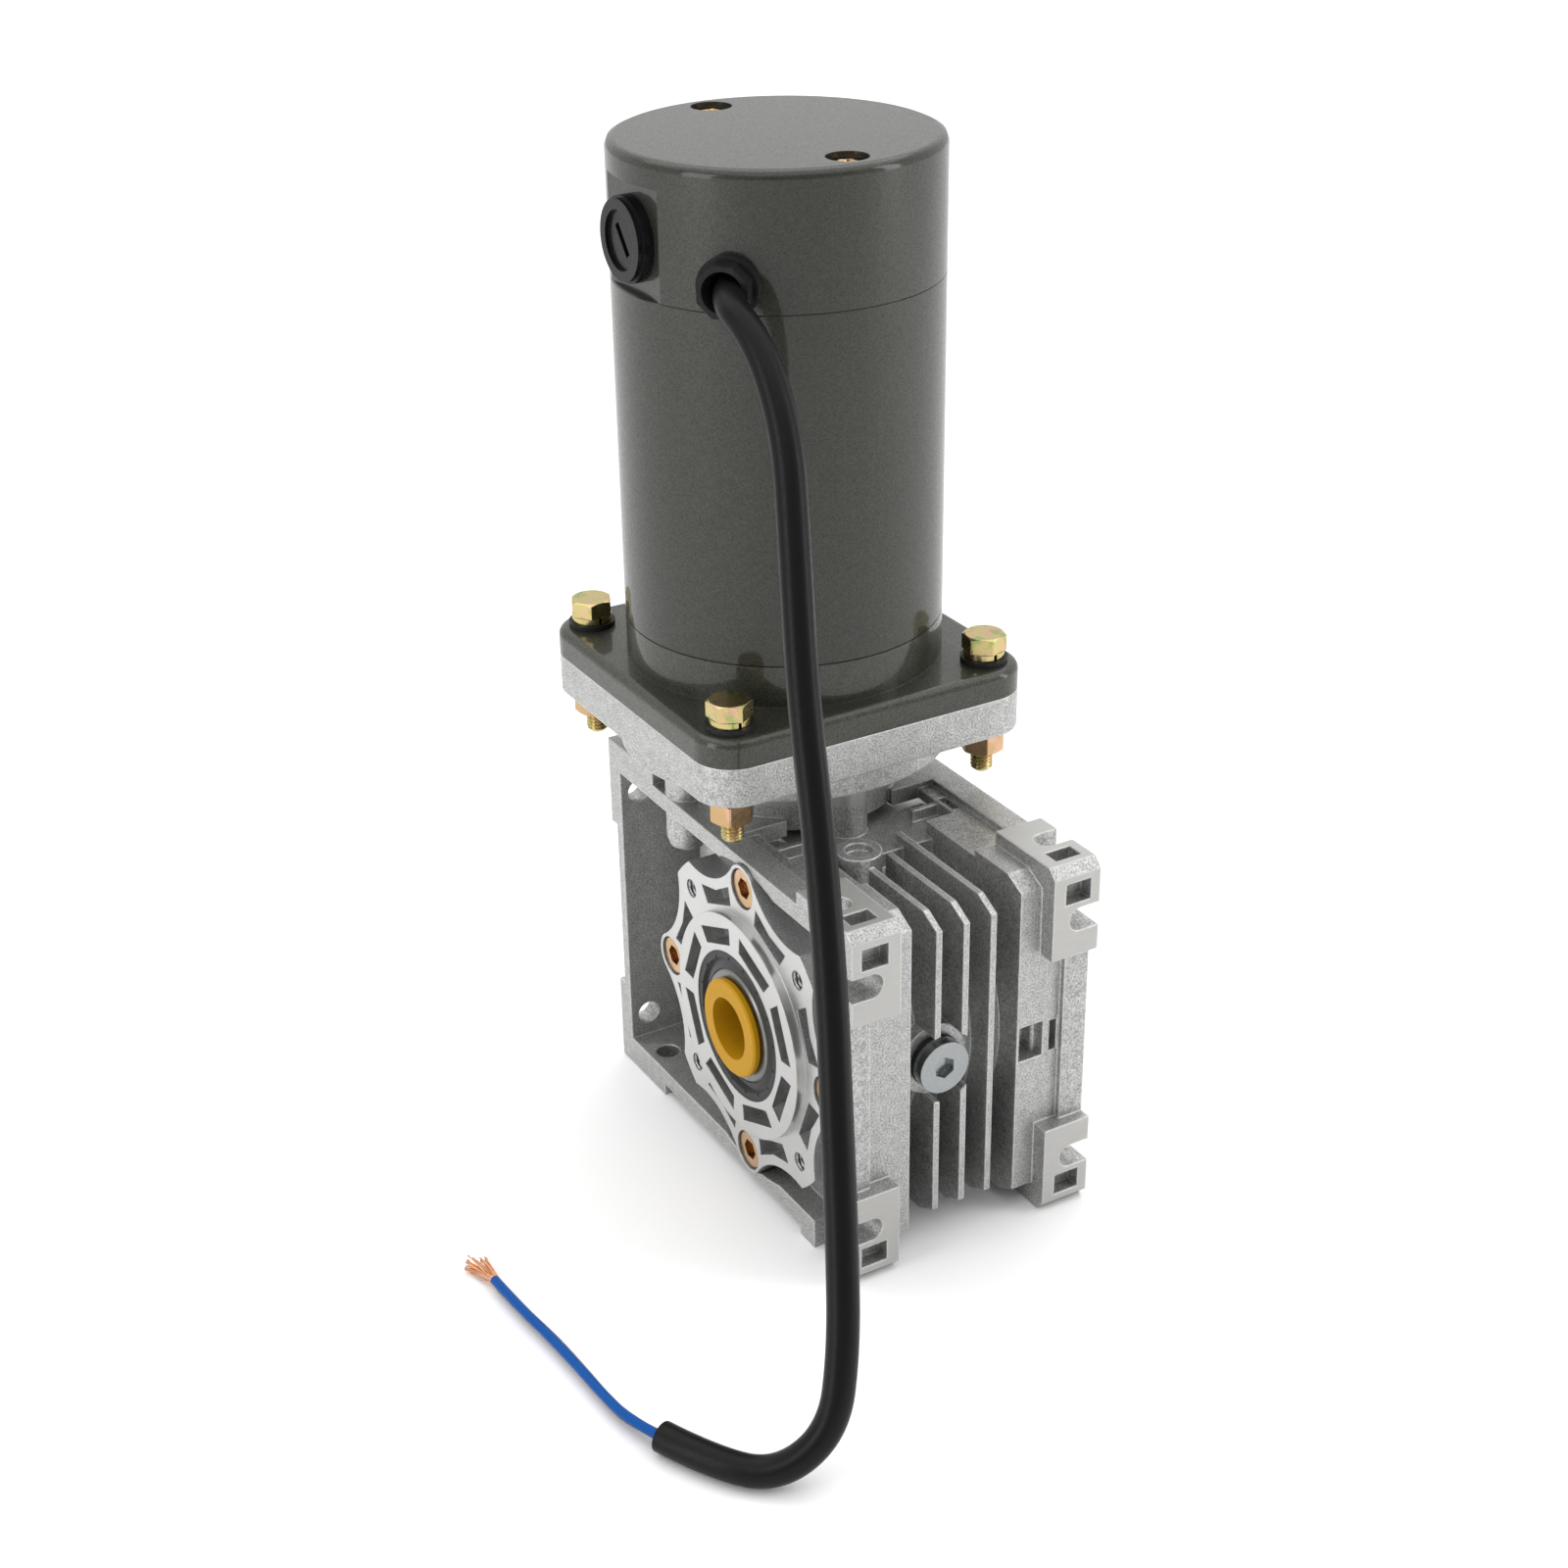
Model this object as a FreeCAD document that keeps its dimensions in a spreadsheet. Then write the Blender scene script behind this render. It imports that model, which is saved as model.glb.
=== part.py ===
"""Right-angle worm gear motor: a 40 mm worm gearbox with a brushed motor on its input face.

Millimetres. The origin is the middle of the hollow output shaft, the output axis is Y with the face
shown to the front at -Y, the fins are at +X, and the motor stands up along +Z over the worm.
"""
import FreeCAD, Part
import Sketcher
import math
import os

Vector = FreeCAD.Vector
Rotation = FreeCAD.Rotation
Placement = FreeCAD.Placement

doc = FreeCAD.newDocument("worm_gear_motor")
sheet = doc.addObject("Spreadsheet::Sheet", "dims")


class Size:
    """A number together with the sheet formula that gives it."""

    def __init__(self, value, text):
        self.value = float(value)
        self.text = text

    def __float__(self):
        return self.value

    def __add__(self, other):
        other = as_size(other)
        return Size(self.value + other.value, f"({self.text} + {other.text})")

    def __radd__(self, other):
        return as_size(other) + self

    def __sub__(self, other):
        other = as_size(other)
        return Size(self.value - other.value, f"({self.text} - {other.text})")

    def __rsub__(self, other):
        return as_size(other) - self

    def __mul__(self, other):
        other = as_size(other)
        return Size(self.value * other.value, f"({self.text} * {other.text})")

    def __rmul__(self, other):
        return as_size(other) * self

    def __truediv__(self, other):
        other = as_size(other)
        return Size(self.value / other.value, f"({self.text} / {other.text})")

    def __neg__(self):
        return Size(-self.value, f"(0 - {self.text})")


def as_size(number):
    return number if isinstance(number, Size) else Size(number, f"({float(number):.6g})")


class Dimensions:
    """The driving dimensions, each a named cell of the sheet."""

    def __init__(self):
        self.row = 0

    def add(self, **cells):
        for name, value in cells.items():
            self.row += 1
            sheet.set(f"A{self.row}", name)
            sheet.set(f"B{self.row}", f"{value:.6g}")
            sheet.setAlias(f"B{self.row}", name)
            setattr(self, name, Size(value, f"dims.{name}"))


d = Dimensions()
# gearbox casting
d.add(worm_x=-40, foot_face=50, far_face=73.5, half_height=50, half_width=35.5,
      rim_height=46.5, cheek_height=43.5, cheek_x=45, cheek_inner=15.8, rim_wall=4.5,
      recess_floor=28.5, case_radius=42.6, case_bore=36.1, case_half=28.5, web_half=2.5,
      back_wall=3, band_radius=37.4, band_bore=33.4, rim_x=46.7, step_height=44.8, step_edge=28.2,
      tube_radius=23.5, tube_bore=13.6, corner_bevel=6, corner_drop=3.1,
      fin_thick=1.6, fin_pitch=7.9, valley_floor=41, neck_radius=30, neck_top=58,
      column_radius=5.4, column_low=31)
# feet
d.add(pad_long=25, pad_wide=13.6, slot_wide=6.5, slot_row=30, slot_column=35, slot_inset=15,
      pad_bevel=2.5, pad_wall=5)
# cover, shaft and bearings on the output axis
d.add(cover_face=36.5, spigot_face=39, lobe_radius=43.8, spigot_radius=30, spigot_inner=27.2,
      scallop_centre=60, scallop_radius=22, nose_radius=6.3, cover_plug_end=18.3, bolt_circle=37.5,
      screw_circle=39, tap_radius=2.5, seat_radius=27.5, shaft_radius=15, shaft_bore=9,
      shaft_centre=18, hub_half=14, bearing_near=31.5, bearing_far=18.5, seal_radius=20)
# worm set
d.add(gear_module=2, wheel_teeth=30, rim_half=8, rim_inner=24, worm_pitch=10, thread_half=20,
      tooth_thick=2.7, flank=20)
# worm bearings
d.add(low_journal=8.5, low_bearing=20, low_top=-28, low_bottom=-40, high_journal=10,
      high_bearing=18.5, high_bottom=28, high_top=37, worm_top=54, motor_bore=5.5,
      socket_floor=27)
# motor
d.add(plate_low=64.8, plate_top=75, plate_half=46, plate_corner=10.5, step_radius=43,
      pilot_radius=30, flange_top=82.2, boss_top=93, motor_radius=40.4, cap_low=180,
      brush_height=192.6, brush_flat=38.5, motor_top=212.5, bolt_half=36.77, tube_wall=3.2, armature_radius=24.5, magnet_inner=25.4)
# cable
d.add(cable_diameter=7.5, core_diameter=2.4, stand=-50)
doc.recompute()


def bind(thing, prop, size):
    """Ties a property to the sheet, or sets it when the size is a plain number."""
    if isinstance(size, Size):
        thing.setExpression(prop, size.text)
    else:
        thing.setExpression(prop, f"{float(size):.6g}")


def put(thing, x=0, y=0, z=0, rotation=None):
    """Turns an object and binds where it stands."""
    thing.Placement = Placement(Vector(float(x), float(y), float(z)), rotation or Rotation())
    for prop, size in (("x", x), ("y", y), ("z", z)):
        if isinstance(size, Size):
            thing.setExpression(f"Placement.Base.{prop}", size.text)
    return thing


UPRIGHT = Rotation()
ALONG_X = Rotation(Vector(0, 1, 0), 90)
ALONG_Y = Rotation(Vector(1, 0, 0), -90)
TOWARD_FRONT = Rotation(Vector(1, 0, 0), 90)


def box(label, x, y, z):
    """A block between two values on each axis."""
    block = doc.addObject("Part::Box", label)
    for prop, (low, high) in (("Length", x), ("Width", y), ("Height", z)):
        bind(block, prop, as_size(high) - low)
    return put(block, x[0], y[0], z[0])


def cylinder(label, radius, low, high, rotation=UPRIGHT, x=0, y=0, z=0):
    """A round bar from low to high along its own axis, which passes through the point given."""
    bar = doc.addObject("Part::Cylinder", label)
    bind(bar, "Radius", radius)
    bind(bar, "Height", as_size(high) - low)
    if rotation is ALONG_X:
        return put(bar, low, y, z, rotation)
    if rotation is ALONG_Y:
        return put(bar, x, low, z, rotation)
    return put(bar, x, y, low, rotation)


def fuse(label, parts):
    union = doc.addObject("Part::MultiFuse", label)
    union.Shapes = parts
    return union


def cut(label, base, tools):
    rest = doc.addObject("Part::Cut", label)
    rest.Base = base
    rest.Tool = tools[0] if len(tools) == 1 else fuse(label + "_cuts", tools)
    return rest


def plane_of(body, role):
    return next(item for item in body.Origin.OriginFeatures if item.Role == role)


def sketch_on(body, role, name, height=0):
    """A sketch on one of the body's own planes, lifted by the given height."""
    sketch = body.newObject("Sketcher::SketchObject", name)
    sketch.AttachmentSupport = [(plane_of(body, role), "")]
    sketch.MapMode = "FlatFace"
    sketch.AttachmentOffset = Placement(Vector(0, 0, float(height)), Rotation())
    if isinstance(height, Size):
        sketch.setExpression("AttachmentOffset.Base.z", height.text)
    return sketch


def hold(sketch, kind, geometry, vertex, size):
    """Fixes one coordinate or radius of a sketch element from the sheet."""
    value = float(size)
    if vertex is None:
        index = sketch.addConstraint(Sketcher.Constraint(kind, geometry, value))
    else:
        index = sketch.addConstraint(Sketcher.Constraint(kind, geometry, vertex, value))
    if isinstance(size, Size):
        sketch.setExpression(f"Constraints[{index}]", size.text)


def outline(sketch, points):
    """A closed outline of straight lines through points of two sizes each."""
    corners = [Vector(float(x), float(y), 0) for x, y in points]
    first = sketch.GeometryCount
    count = len(points)
    for i in range(count):
        sketch.addGeometry(Part.LineSegment(corners[i], corners[(i + 1) % count]), False)
    for i in range(count):
        following = first + (i + 1) % count
        sketch.addConstraint(Sketcher.Constraint("Coincident", first + i, 2, following, 1))
        hold(sketch, "DistanceX", first + i, 1, points[i][0])
        hold(sketch, "DistanceY", first + i, 1, points[i][1])


def circle(sketch, x, y, radius):
    centre = Vector(float(x), float(y), 0)
    index = sketch.addGeometry(Part.Circle(centre, Vector(0, 0, 1), float(radius)), False)
    hold(sketch, "DistanceX", index, 3, x)
    hold(sketch, "DistanceY", index, 3, y)
    hold(sketch, "Radius", index, None, radius)


def new_body(label):
    body = doc.addObject("PartDesign::Body", label)
    body.Label = label
    return body


def turned(label, profile, x=0, y=0, z=0, rotation=UPRIGHT):
    """A lathe part: its profile of (radius, height) pairs turned about its own axis."""
    body = new_body(label)
    sketch = sketch_on(body, "XZ_Plane", label + "_profile")
    outline(sketch, profile)
    turn = body.newObject("PartDesign::Revolution", label + "_turn")
    turn.Profile = sketch
    turn.ReferenceAxis = (sketch, ["V_Axis"])
    turn.Angle = 360
    body.Tip = turn
    return put(body, x, y, z, rotation)


def ring(label, inner, outer, low, high, **place):
    return turned(label, [(inner, low), (outer, low), (outer, high), (inner, high)], **place)


def pad(body, sketch, name, length):
    feature = body.newObject("PartDesign::Pad", name)
    feature.Profile = sketch
    bind(feature, "Length", length)
    return feature


def pocket(body, sketch, name, depth, reversed_way=False):
    feature = body.newObject("PartDesign::Pocket", name)
    feature.Profile = sketch
    bind(feature, "Length", depth)
    feature.Reversed = reversed_way
    return feature


def around(body, feature, sketch, name, count):
    """Repeats a feature evenly round the sketch's normal."""
    pattern = body.newObject("PartDesign::PolarPattern", name)
    pattern.Originals = [feature]
    pattern.Axis = (sketch, ["N_Axis"])
    pattern.Angle = 360
    pattern.Occurrences = count
    body.Tip = pattern
    return pattern


def shaped(label, shape, x=0, y=0, z=0, rotation=UPRIGHT):
    """A part whose shape is worked out with functions, placed after its shape is set."""
    feature = doc.addObject("Part::Feature", label)
    feature.Shape = shape
    feature.Placement = Placement(Vector(float(x), float(y), float(z)), rotation)
    return feature


def group(label, pattern_part, places):
    """Several equal pieces as one node of separate solids."""
    copies = []
    for place in places:
        piece = pattern_part.Shape.copy()
        piece.Placement = place.multiply(piece.Placement)
        copies.append(piece)
    return shaped(label, Part.makeCompound(copies))


nodes = []


def node(part, name=None):
    """Marks a finished part as one that is written out under its label."""
    if name:
        part.Label = name
    nodes.append(part)
    return part


FRONT, BACK = -1, 1


def mirrored_pair(low, high, side):
    """A span on the front or the back side of the middle plane."""
    return (low, high) if side == BACK else (-as_size(high), -as_size(low))


def bevelled_prism(label, far_x, near_x, height, y_low, y_high):
    """A plate across Y whose two corners at +X are bevelled as the castings are."""
    body = new_body(label)
    sketch = sketch_on(body, "XZ_Plane", label + "_outline", -as_size(y_high))
    outline(sketch, [
        (far_x, -height), (near_x - d.corner_bevel, -height), (near_x, -height + d.corner_drop),
        (near_x, height - d.corner_drop), (near_x - d.corner_bevel, height), (far_x, height)])
    plate = pad(body, sketch, label + "_pad", as_size(y_high) - y_low)
    body.Tip = plate
    return body


def make_housing():
    """The one-piece casting: frame, wheel case, worm tube, neck, cheeks, fins and foot pads."""
    inner_x = -d.far_face + 3 + d.back_wall
    frame_x = -d.far_face + 3
    outer = bevelled_prism("frame_block", frame_x, d.cheek_x, d.rim_height,
                           -d.half_width, d.half_width)
    space = box("frame_space", (inner_x, d.cheek_x - d.rim_wall),
                (-d.half_width - 1, d.half_width + 1),
                (-d.rim_height + d.rim_wall, d.rim_height - d.rim_wall))
    frame = cut("frame", outer, [space])
    solids = [frame]
    solids.append(box("web", (inner_x - 1, 0), (-d.web_half, d.web_half),
                      (-d.rim_height + 1, d.rim_height - 1)))
    for side in (FRONT, BACK):
        name = "near" if side == FRONT else "far"
        low, high = mirrored_pair(d.cheek_inner, d.recess_floor, side)
        solids.append(bevelled_prism(name + "_cheek", as_size(4), d.cheek_x, d.cheek_height,
                                     low, high))
        low, high = mirrored_pair(d.recess_floor - 0.1, d.half_width, side)
        solids.append(box(name + "_rim", (d.cheek_x - d.rim_wall, d.rim_x), (low, high), (-26, 26)))
        solids += make_pads(name, side)
        low, high = mirrored_pair(d.cheek_inner, d.case_half, side)
        solids.append(cylinder(name + "_case", d.case_radius, low, high, ALONG_Y))
    case = cylinder("wheel_case", d.band_radius, -d.cheek_inner - 1, d.cheek_inner + 1, ALONG_Y)
    floor = box("valley_slab", (-30, 6), (-d.cheek_inner - 1, d.cheek_inner + 1),
                (33, d.valley_floor))
    tube = cylinder("worm_tube", d.tube_radius, -d.rim_height, d.rim_height, x=d.worm_x)
    # the finned band between the cheeks is opened before its own parts are put in
    band = box("fin_band", (4, d.foot_face + 1), (-d.cheek_inner, d.cheek_inner),
               (-d.half_height - 1, d.half_height + 1))
    valley = box("neck_valley", (d.worm_x, d.foot_face), (-d.cheek_inner, d.cheek_inner),
                 (d.valley_floor, d.half_height + 1))
    side_valleys = [box("valley_near", (-13, 3), (-24, -d.cheek_inner + 0.5),
                        (d.valley_floor, d.half_height + 1)),
                    box("valley_far", (-13, 3), (d.cheek_inner - 0.5, 24),
                        (d.valley_floor, d.half_height + 1))]
    shell = cut("open_frame", fuse("walls", solids), [band, valley] + side_valleys)
    ribs = [box("neck_rib_near", (-5.4, -4), (-24.5, -d.cheek_inner - 0.6), (40, 44.2)),
            box("neck_rib_far", (-5.4, -4), (d.cheek_inner + 0.6, 24.5), (40, 44.2))]
    parts = [shell, case, tube, floor] + ribs + make_fins() + make_neck()
    plug_boss = cylinder("plug_boss", 9.6, 30, 40, ALONG_X, y=-5.7, z=1.2)
    blank_boss = cylinder("blank_boss", 5.8, 34, 46, x=9, y=-8)
    body = fuse("housing_solid", parts + [plug_boss, blank_boss])
    return node(cut("housing", body, housing_cuts()))


def make_pads(name, side):
    """The four corner pads of one side: two on the fin face and the matching ones elsewhere."""
    y_span = mirrored_pair(d.half_width - d.pad_wide, d.half_width, side)
    blocks = []
    for level, sign in (("top", 1), ("bottom", -1)):
        far_z = sign * d.half_height
        near_z = sign * (d.half_height - d.pad_long)
        z_span = (near_z, far_z) if sign == 1 else (far_z, near_z)
        skin_z = sign * (d.half_height - d.pad_wall - 3)
        skin_span = (skin_z, far_z) if sign == 1 else (far_z, skin_z)
        tag = f"{name}_{level}"
        blocks.append(box(tag + "_foot", (d.foot_face - d.pad_wall - 4, d.foot_face),
                          y_span, z_span))
        blocks.append(box(tag + "_ledge", (d.foot_face - d.pad_long, d.foot_face),
                          y_span, skin_span))
        blocks.append(box(tag + "_back_foot", (-d.far_face, -d.far_face + 3 + d.back_wall),
                          y_span, z_span))
        blocks.append(box(tag + "_back_ledge", (-d.far_face, -d.far_face + d.pad_long),
                          y_span, skin_span))
    return blocks


def make_fins():
    """Three cooling fins across the output axis, bevelled like the cheeks beside them."""
    fins = []
    for place, start in ((-1, 14.2), (0, 10), (1, 2.3)):
        middle = d.fin_pitch * place
        fins.append(bevelled_prism(f"fin_{place + 2}", as_size(start), d.cheek_x, d.cheek_height,
                                   middle - d.fin_thick / 2, middle + d.fin_thick / 2))
    return fins


def make_neck():
    """The round input neck with its four screw columns, whose lower ends are round."""
    parts = [cylinder("neck", d.neck_radius, d.rim_height - 3.5, d.neck_top, x=d.worm_x)]
    for k, (dx, dy) in enumerate(((1, 0), (0, 1), (-1, 0), (0, -1))):
        x = d.worm_x + dx * d.neck_radius
        y = dy * d.neck_radius
        parts.append(turned(f"column_{k + 1}", [
            (0, d.column_low), (2.6, d.column_low), (4.6, d.column_low + 1.3),
            (d.column_radius, d.column_low + 3.6), (d.column_radius, d.neck_top),
            (0, d.neck_top)], x=x, y=y))
    return parts


def housing_cuts():
    """Every bore, hole, slot and pocket of the casting."""
    tools = [
        cylinder("near_case_bore", d.case_bore, -d.half_width - 1, -d.cheek_inner - 0.4, ALONG_Y),
        cylinder("far_case_bore", d.case_bore, d.cheek_inner + 0.4, d.half_width + 1, ALONG_Y),
        cylinder("band_bore", d.band_bore, -d.cheek_inner - 1, d.cheek_inner + 1, ALONG_Y),
        cylinder("tube_bore", d.tube_bore, -d.half_height - 1, d.neck_top + 1, x=d.worm_x),
        cylinder("low_seat", d.low_bearing, -d.half_height - 1, d.low_top, x=d.worm_x),
        cylinder("high_seat", d.high_bearing, d.high_bottom, d.neck_top + 1, x=d.worm_x),
        cylinder("plug_hole", 5, 30, 50, ALONG_X, y=-5.7, z=1.2),
        cylinder("plug_spot", 9.6, 40, 50, ALONG_X, y=-5.7, z=1.2),
        box("top_slit", (-5.4, 1.5), (24.9, 27.3), (43, 50)),
        cylinder("blank_dimple", 3.6, 43.9, 50, x=9, y=-8),
        box("core_window", (39, 60), (16.4, 23.6), (-5, 5)),
        box("core_slit", (41, 60), (25.6, 27.8), (-4.4, 4.4)),
        box("back_trim", (-d.far_face - 10, -d.far_face), (-40, 40), (-60, 60)),
    ]
    for k, (dx, dy) in enumerate(((1, 0), (0, 1), (-1, 0), (0, -1))):
        tools.append(cylinder(f"column_tap_{k + 1}", 2.5, d.column_low + 4, d.neck_top + 1,
                              x=d.worm_x + dx * d.neck_radius, y=dy * d.neck_radius))
    for side in (FRONT, BACK):
        row = side * d.slot_row
        edge = side * (d.half_width + 1)
        reach = mirrored_pair(d.recess_floor, d.half_width + 1, side)
        depth = mirrored_pair(as_size(22), d.recess_floor + 1, side)
        open_span = (row, edge) if side == BACK else (edge, row)
        half_slot = d.slot_wide / 2
        face_pocket = mirrored_pair(as_size(25.4), as_size(32.8), side)
        name = "near" if side == FRONT else "far"
        tools.append(cylinder(name + "_cover_room", d.lobe_radius + 0.5, reach[0], reach[1],
                              ALONG_Y))
        step = mirrored_pair(as_size(14.5), d.step_edge, side)
        for sign in (1, -1):
            level = (d.step_height, as_size(48)) if sign == 1 else (as_size(-48), -d.step_height)
            tools.append(box(f"{name}_step_{sign + 1}", (-13, 24.9), step, level))
        tap_reach = mirrored_pair(as_size(23.5), d.recess_floor + 0.1, side)
        for k in range(4):
            angle = math.radians(90 * k)
            corner = math.radians(90 * k + 45)
            tools.append(cylinder(f"{name}_nose_room_{k + 1}", d.nose_radius + 0.35,
                                  reach[0], reach[1], ALONG_Y,
                                  x=d.screw_circle * round(math.cos(angle)),
                                  z=d.screw_circle * round(math.sin(angle))))
            tools.append(cylinder(f"{name}_tap_way_{k + 1}", 3,
                                  tap_reach[0], tap_reach[1], ALONG_Y,
                                  x=d.bolt_circle * math.cos(corner),
                                  z=d.bolt_circle * math.sin(corner)))
            tools.append(cylinder(f"{name}_screw_tap_{k + 1}", 2.5, depth[0], depth[1], ALONG_Y,
                                  x=d.screw_circle * round(math.cos(angle)),
                                  z=d.screw_circle * round(math.sin(angle))))
        for k, sign in enumerate((1, -1)):
            tag = f"{name}_{k + 1}"
            level = sign * d.slot_column
            tools.append(cylinder(tag + "_slot_end", half_slot, 30, 60, ALONG_X,
                                  y=row, z=level))
            tools.append(box(tag + "_slot", (30, 60), open_span,
                             (level - half_slot, level + half_slot)))
            tools.append(cylinder(tag + "_back_hole", half_slot, -90, -60, ALONG_X,
                                  y=row, z=level))
            low, high = (30, 60) if sign == 1 else (-60, -30)
            tools.append(cylinder(tag + "_ledge_end", half_slot, low, high,
                                  x=d.foot_face - d.slot_inset, y=row))
            across = (d.foot_face - d.slot_inset - half_slot,
                      d.foot_face - d.slot_inset + half_slot)
            tools.append(box(tag + "_ledge_slot", across, open_span, (low, high)))
            tools.append(cylinder(tag + "_floor_hole", half_slot, low, high,
                                  x=-d.far_face + d.slot_inset + 2, y=row))
            deep = (as_size(39.8), as_size(45.6)) if sign == 1 else (
                as_size(-45.6), as_size(-39.8))
            tools.append(box(tag + "_face_pocket", (46, 60), face_pocket, deep))
            low, high = (46, 60) if sign == 1 else (-60, -46)
            tools.append(box(tag + "_ledge_pocket", (40.6, 45.4), face_pocket, (low, high)))
    for sign in (1, -1):
        tools.append(bevel_tool(f"corner_{sign + 1}", sign))
    return tools


def bevel_tool(label, sign):
    """The wedge that takes the edge off the foot corners along Y."""
    body = new_body(label)
    sketch = sketch_on(body, "XZ_Plane", label + "_wedge", -40)
    outline(sketch, [
        (d.foot_face + 1, sign * (d.half_height - d.pad_bevel - 1)),
        (d.foot_face + 1, sign * (d.half_height + 1)),
        (d.foot_face - d.pad_bevel - 1, sign * (d.half_height + 1))])
    body.Tip = pad(body, sketch, label + "_pad", 80)
    return body


def sector(sketch, inner, outer, half_angle, middle, waist=None):
    """A pocket outline between two radii whose sides point at the centre.

    With a waist the outer side is drawn in to that radius at its middle, along the scallop.
    """
    points = []
    corners = [(inner, -1), (outer, -1), (outer, 1), (inner, 1)]
    if waist is not None:
        corners.insert(2, (waist, 0))
    for radius, turn in corners:
        angle = math.radians(middle + turn * half_angle)
        points.append((as_size(radius) * math.cos(angle), as_size(radius) * math.sin(angle)))
    outline(sketch, points)


def make_cover(name, side):
    """The lobed output cover with its spigot ring, pockets, screw seats and tapped holes."""
    body = new_body(name)
    disc = sketch_on(body, "XY_Plane", name + "_disc", d.case_half)
    circle(disc, 0, 0, d.lobe_radius)
    pad(body, disc, name + "_disc_pad", d.cover_face - d.case_half)
    noses = sketch_on(body, "XY_Plane", name + "_nose", d.case_half)
    circle(noses, d.screw_circle, 0, d.nose_radius)
    nose = pad(body, noses, name + "_nose_pad", d.cover_face - d.case_half)
    around(body, nose, noses, name + "_noses", 4)
    plug = sketch_on(body, "XY_Plane", name + "_plug", d.cover_plug_end)
    circle(plug, 0, 0, d.case_bore - 0.1)
    pad(body, plug, name + "_plug_pad", d.case_half - d.cover_plug_end + 0.1)
    spigot = sketch_on(body, "XY_Plane", name + "_spigot", d.cover_face - 0.1)
    circle(spigot, 0, 0, d.spigot_radius)
    pad(body, spigot, name + "_spigot_pad", d.spigot_face - d.cover_face + 0.1)
    scallop = sketch_on(body, "XY_Plane", name + "_scallop", d.spigot_face)
    reach = d.scallop_centre
    angle = math.radians(22.5)
    circle(scallop, reach * math.cos(angle), reach * math.sin(angle), d.scallop_radius)
    bite = pocket(body, scallop, name + "_scallop_cut", d.spigot_face - d.case_half + 1)
    around(body, bite, scallop, name + "_scallops", 8)
    gap = sketch_on(body, "XY_Plane", name + "_inner", d.spigot_face)
    sector(gap, 22.6, d.spigot_inner, 17, 22.5)
    inner = pocket(body, gap, name + "_inner_cut", 6)
    around(body, inner, gap, name + "_inner_pockets", 8)
    gap = sketch_on(body, "XY_Plane", name + "_outer", d.cover_face)
    sector(gap, 31.9, 37, 12, 22.5, 35)
    outer = pocket(body, gap, name + "_outer_cut", 5)
    around(body, outer, gap, name + "_outer_pockets", 8)
    holes = sketch_on(body, "XY_Plane", name + "_seats", d.cover_face)
    circle(holes, d.screw_circle, 0, 5.4)
    seats = pocket(body, holes, name + "_seat_cut", 5)
    around(body, seats, holes, name + "_seats_all", 4)
    holes = sketch_on(body, "XY_Plane", name + "_through", d.cover_face)
    circle(holes, d.screw_circle, 0, 2.8)
    through = pocket(body, holes, name + "_through_cut", d.cover_face - d.case_half + 1)
    around(body, through, holes, name + "_through_all", 4)
    taps = sketch_on(body, "XY_Plane", name + "_taps", d.cover_face)
    diagonal = math.sqrt(0.5)
    circle(taps, d.bolt_circle * diagonal, d.bolt_circle * diagonal, d.tap_radius)
    tapped = pocket(body, taps, name + "_tap_cut", 12.5)
    around(body, tapped, taps, name + "_taps_all", 4)
    bore = sketch_on(body, "XY_Plane", name + "_bore", d.spigot_face)
    circle(bore, 0, 0, d.seal_radius)
    pocket(body, bore, name + "_bore_cut", d.spigot_face - d.cover_plug_end + 1)
    seat = sketch_on(body, "XY_Plane", name + "_seat", d.bearing_near)
    circle(seat, 0, 0, d.seat_radius)
    body.Tip = pocket(body, seat, name + "_seat_bore", d.bearing_near - d.cover_plug_end + 1)
    rotation = TOWARD_FRONT if side == FRONT else Rotation(Vector(1, 0, 0), -90)
    return node(put(body, 0, 0, 0, rotation))


def socket_screw(label, shank, head, head_high, length, hexagon):
    """A socket-head screw along its own axis, head up from z = 0, with its hexagon hole."""
    body = new_body(label)
    stem = sketch_on(body, "XY_Plane", label + "_stem", -as_size(length))
    circle(stem, 0, 0, shank)
    pad(body, stem, label + "_stem_pad", as_size(length) + 0.1)
    top = sketch_on(body, "XY_Plane", label + "_head")
    circle(top, 0, 0, head)
    pad(body, top, label + "_head_pad", head_high)
    drive = sketch_on(body, "XY_Plane", label + "_drive", head_high)
    outline(drive, [(hexagon * math.cos(math.radians(60 * k)),
                     hexagon * math.sin(math.radians(60 * k))) for k in range(6)])
    body.Tip = pocket(body, drive, label + "_drive_cut", as_size(head_high) * 0.6)
    return body


def make_cover_screws():
    """Four socket screws in the counterbores of each cover."""
    screw = socket_screw("cover_screw_pattern", 2.45, 4.95, 4.4, 9, 2.85)
    doc.recompute()
    for side, name in ((FRONT, "cover_screws_near"), (BACK, "cover_screws_far")):
        turn = TOWARD_FRONT if side == FRONT else ALONG_Y
        seat = float(d.cover_face) - 5
        places = []
        for k in range(4):
            angle = math.radians(90 * k)
            radius = float(d.screw_circle)
            places.append(Placement(Vector(radius * math.cos(angle), side * seat,
                                           radius * math.sin(angle)), turn))
        node(group(name, screw, places))


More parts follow.
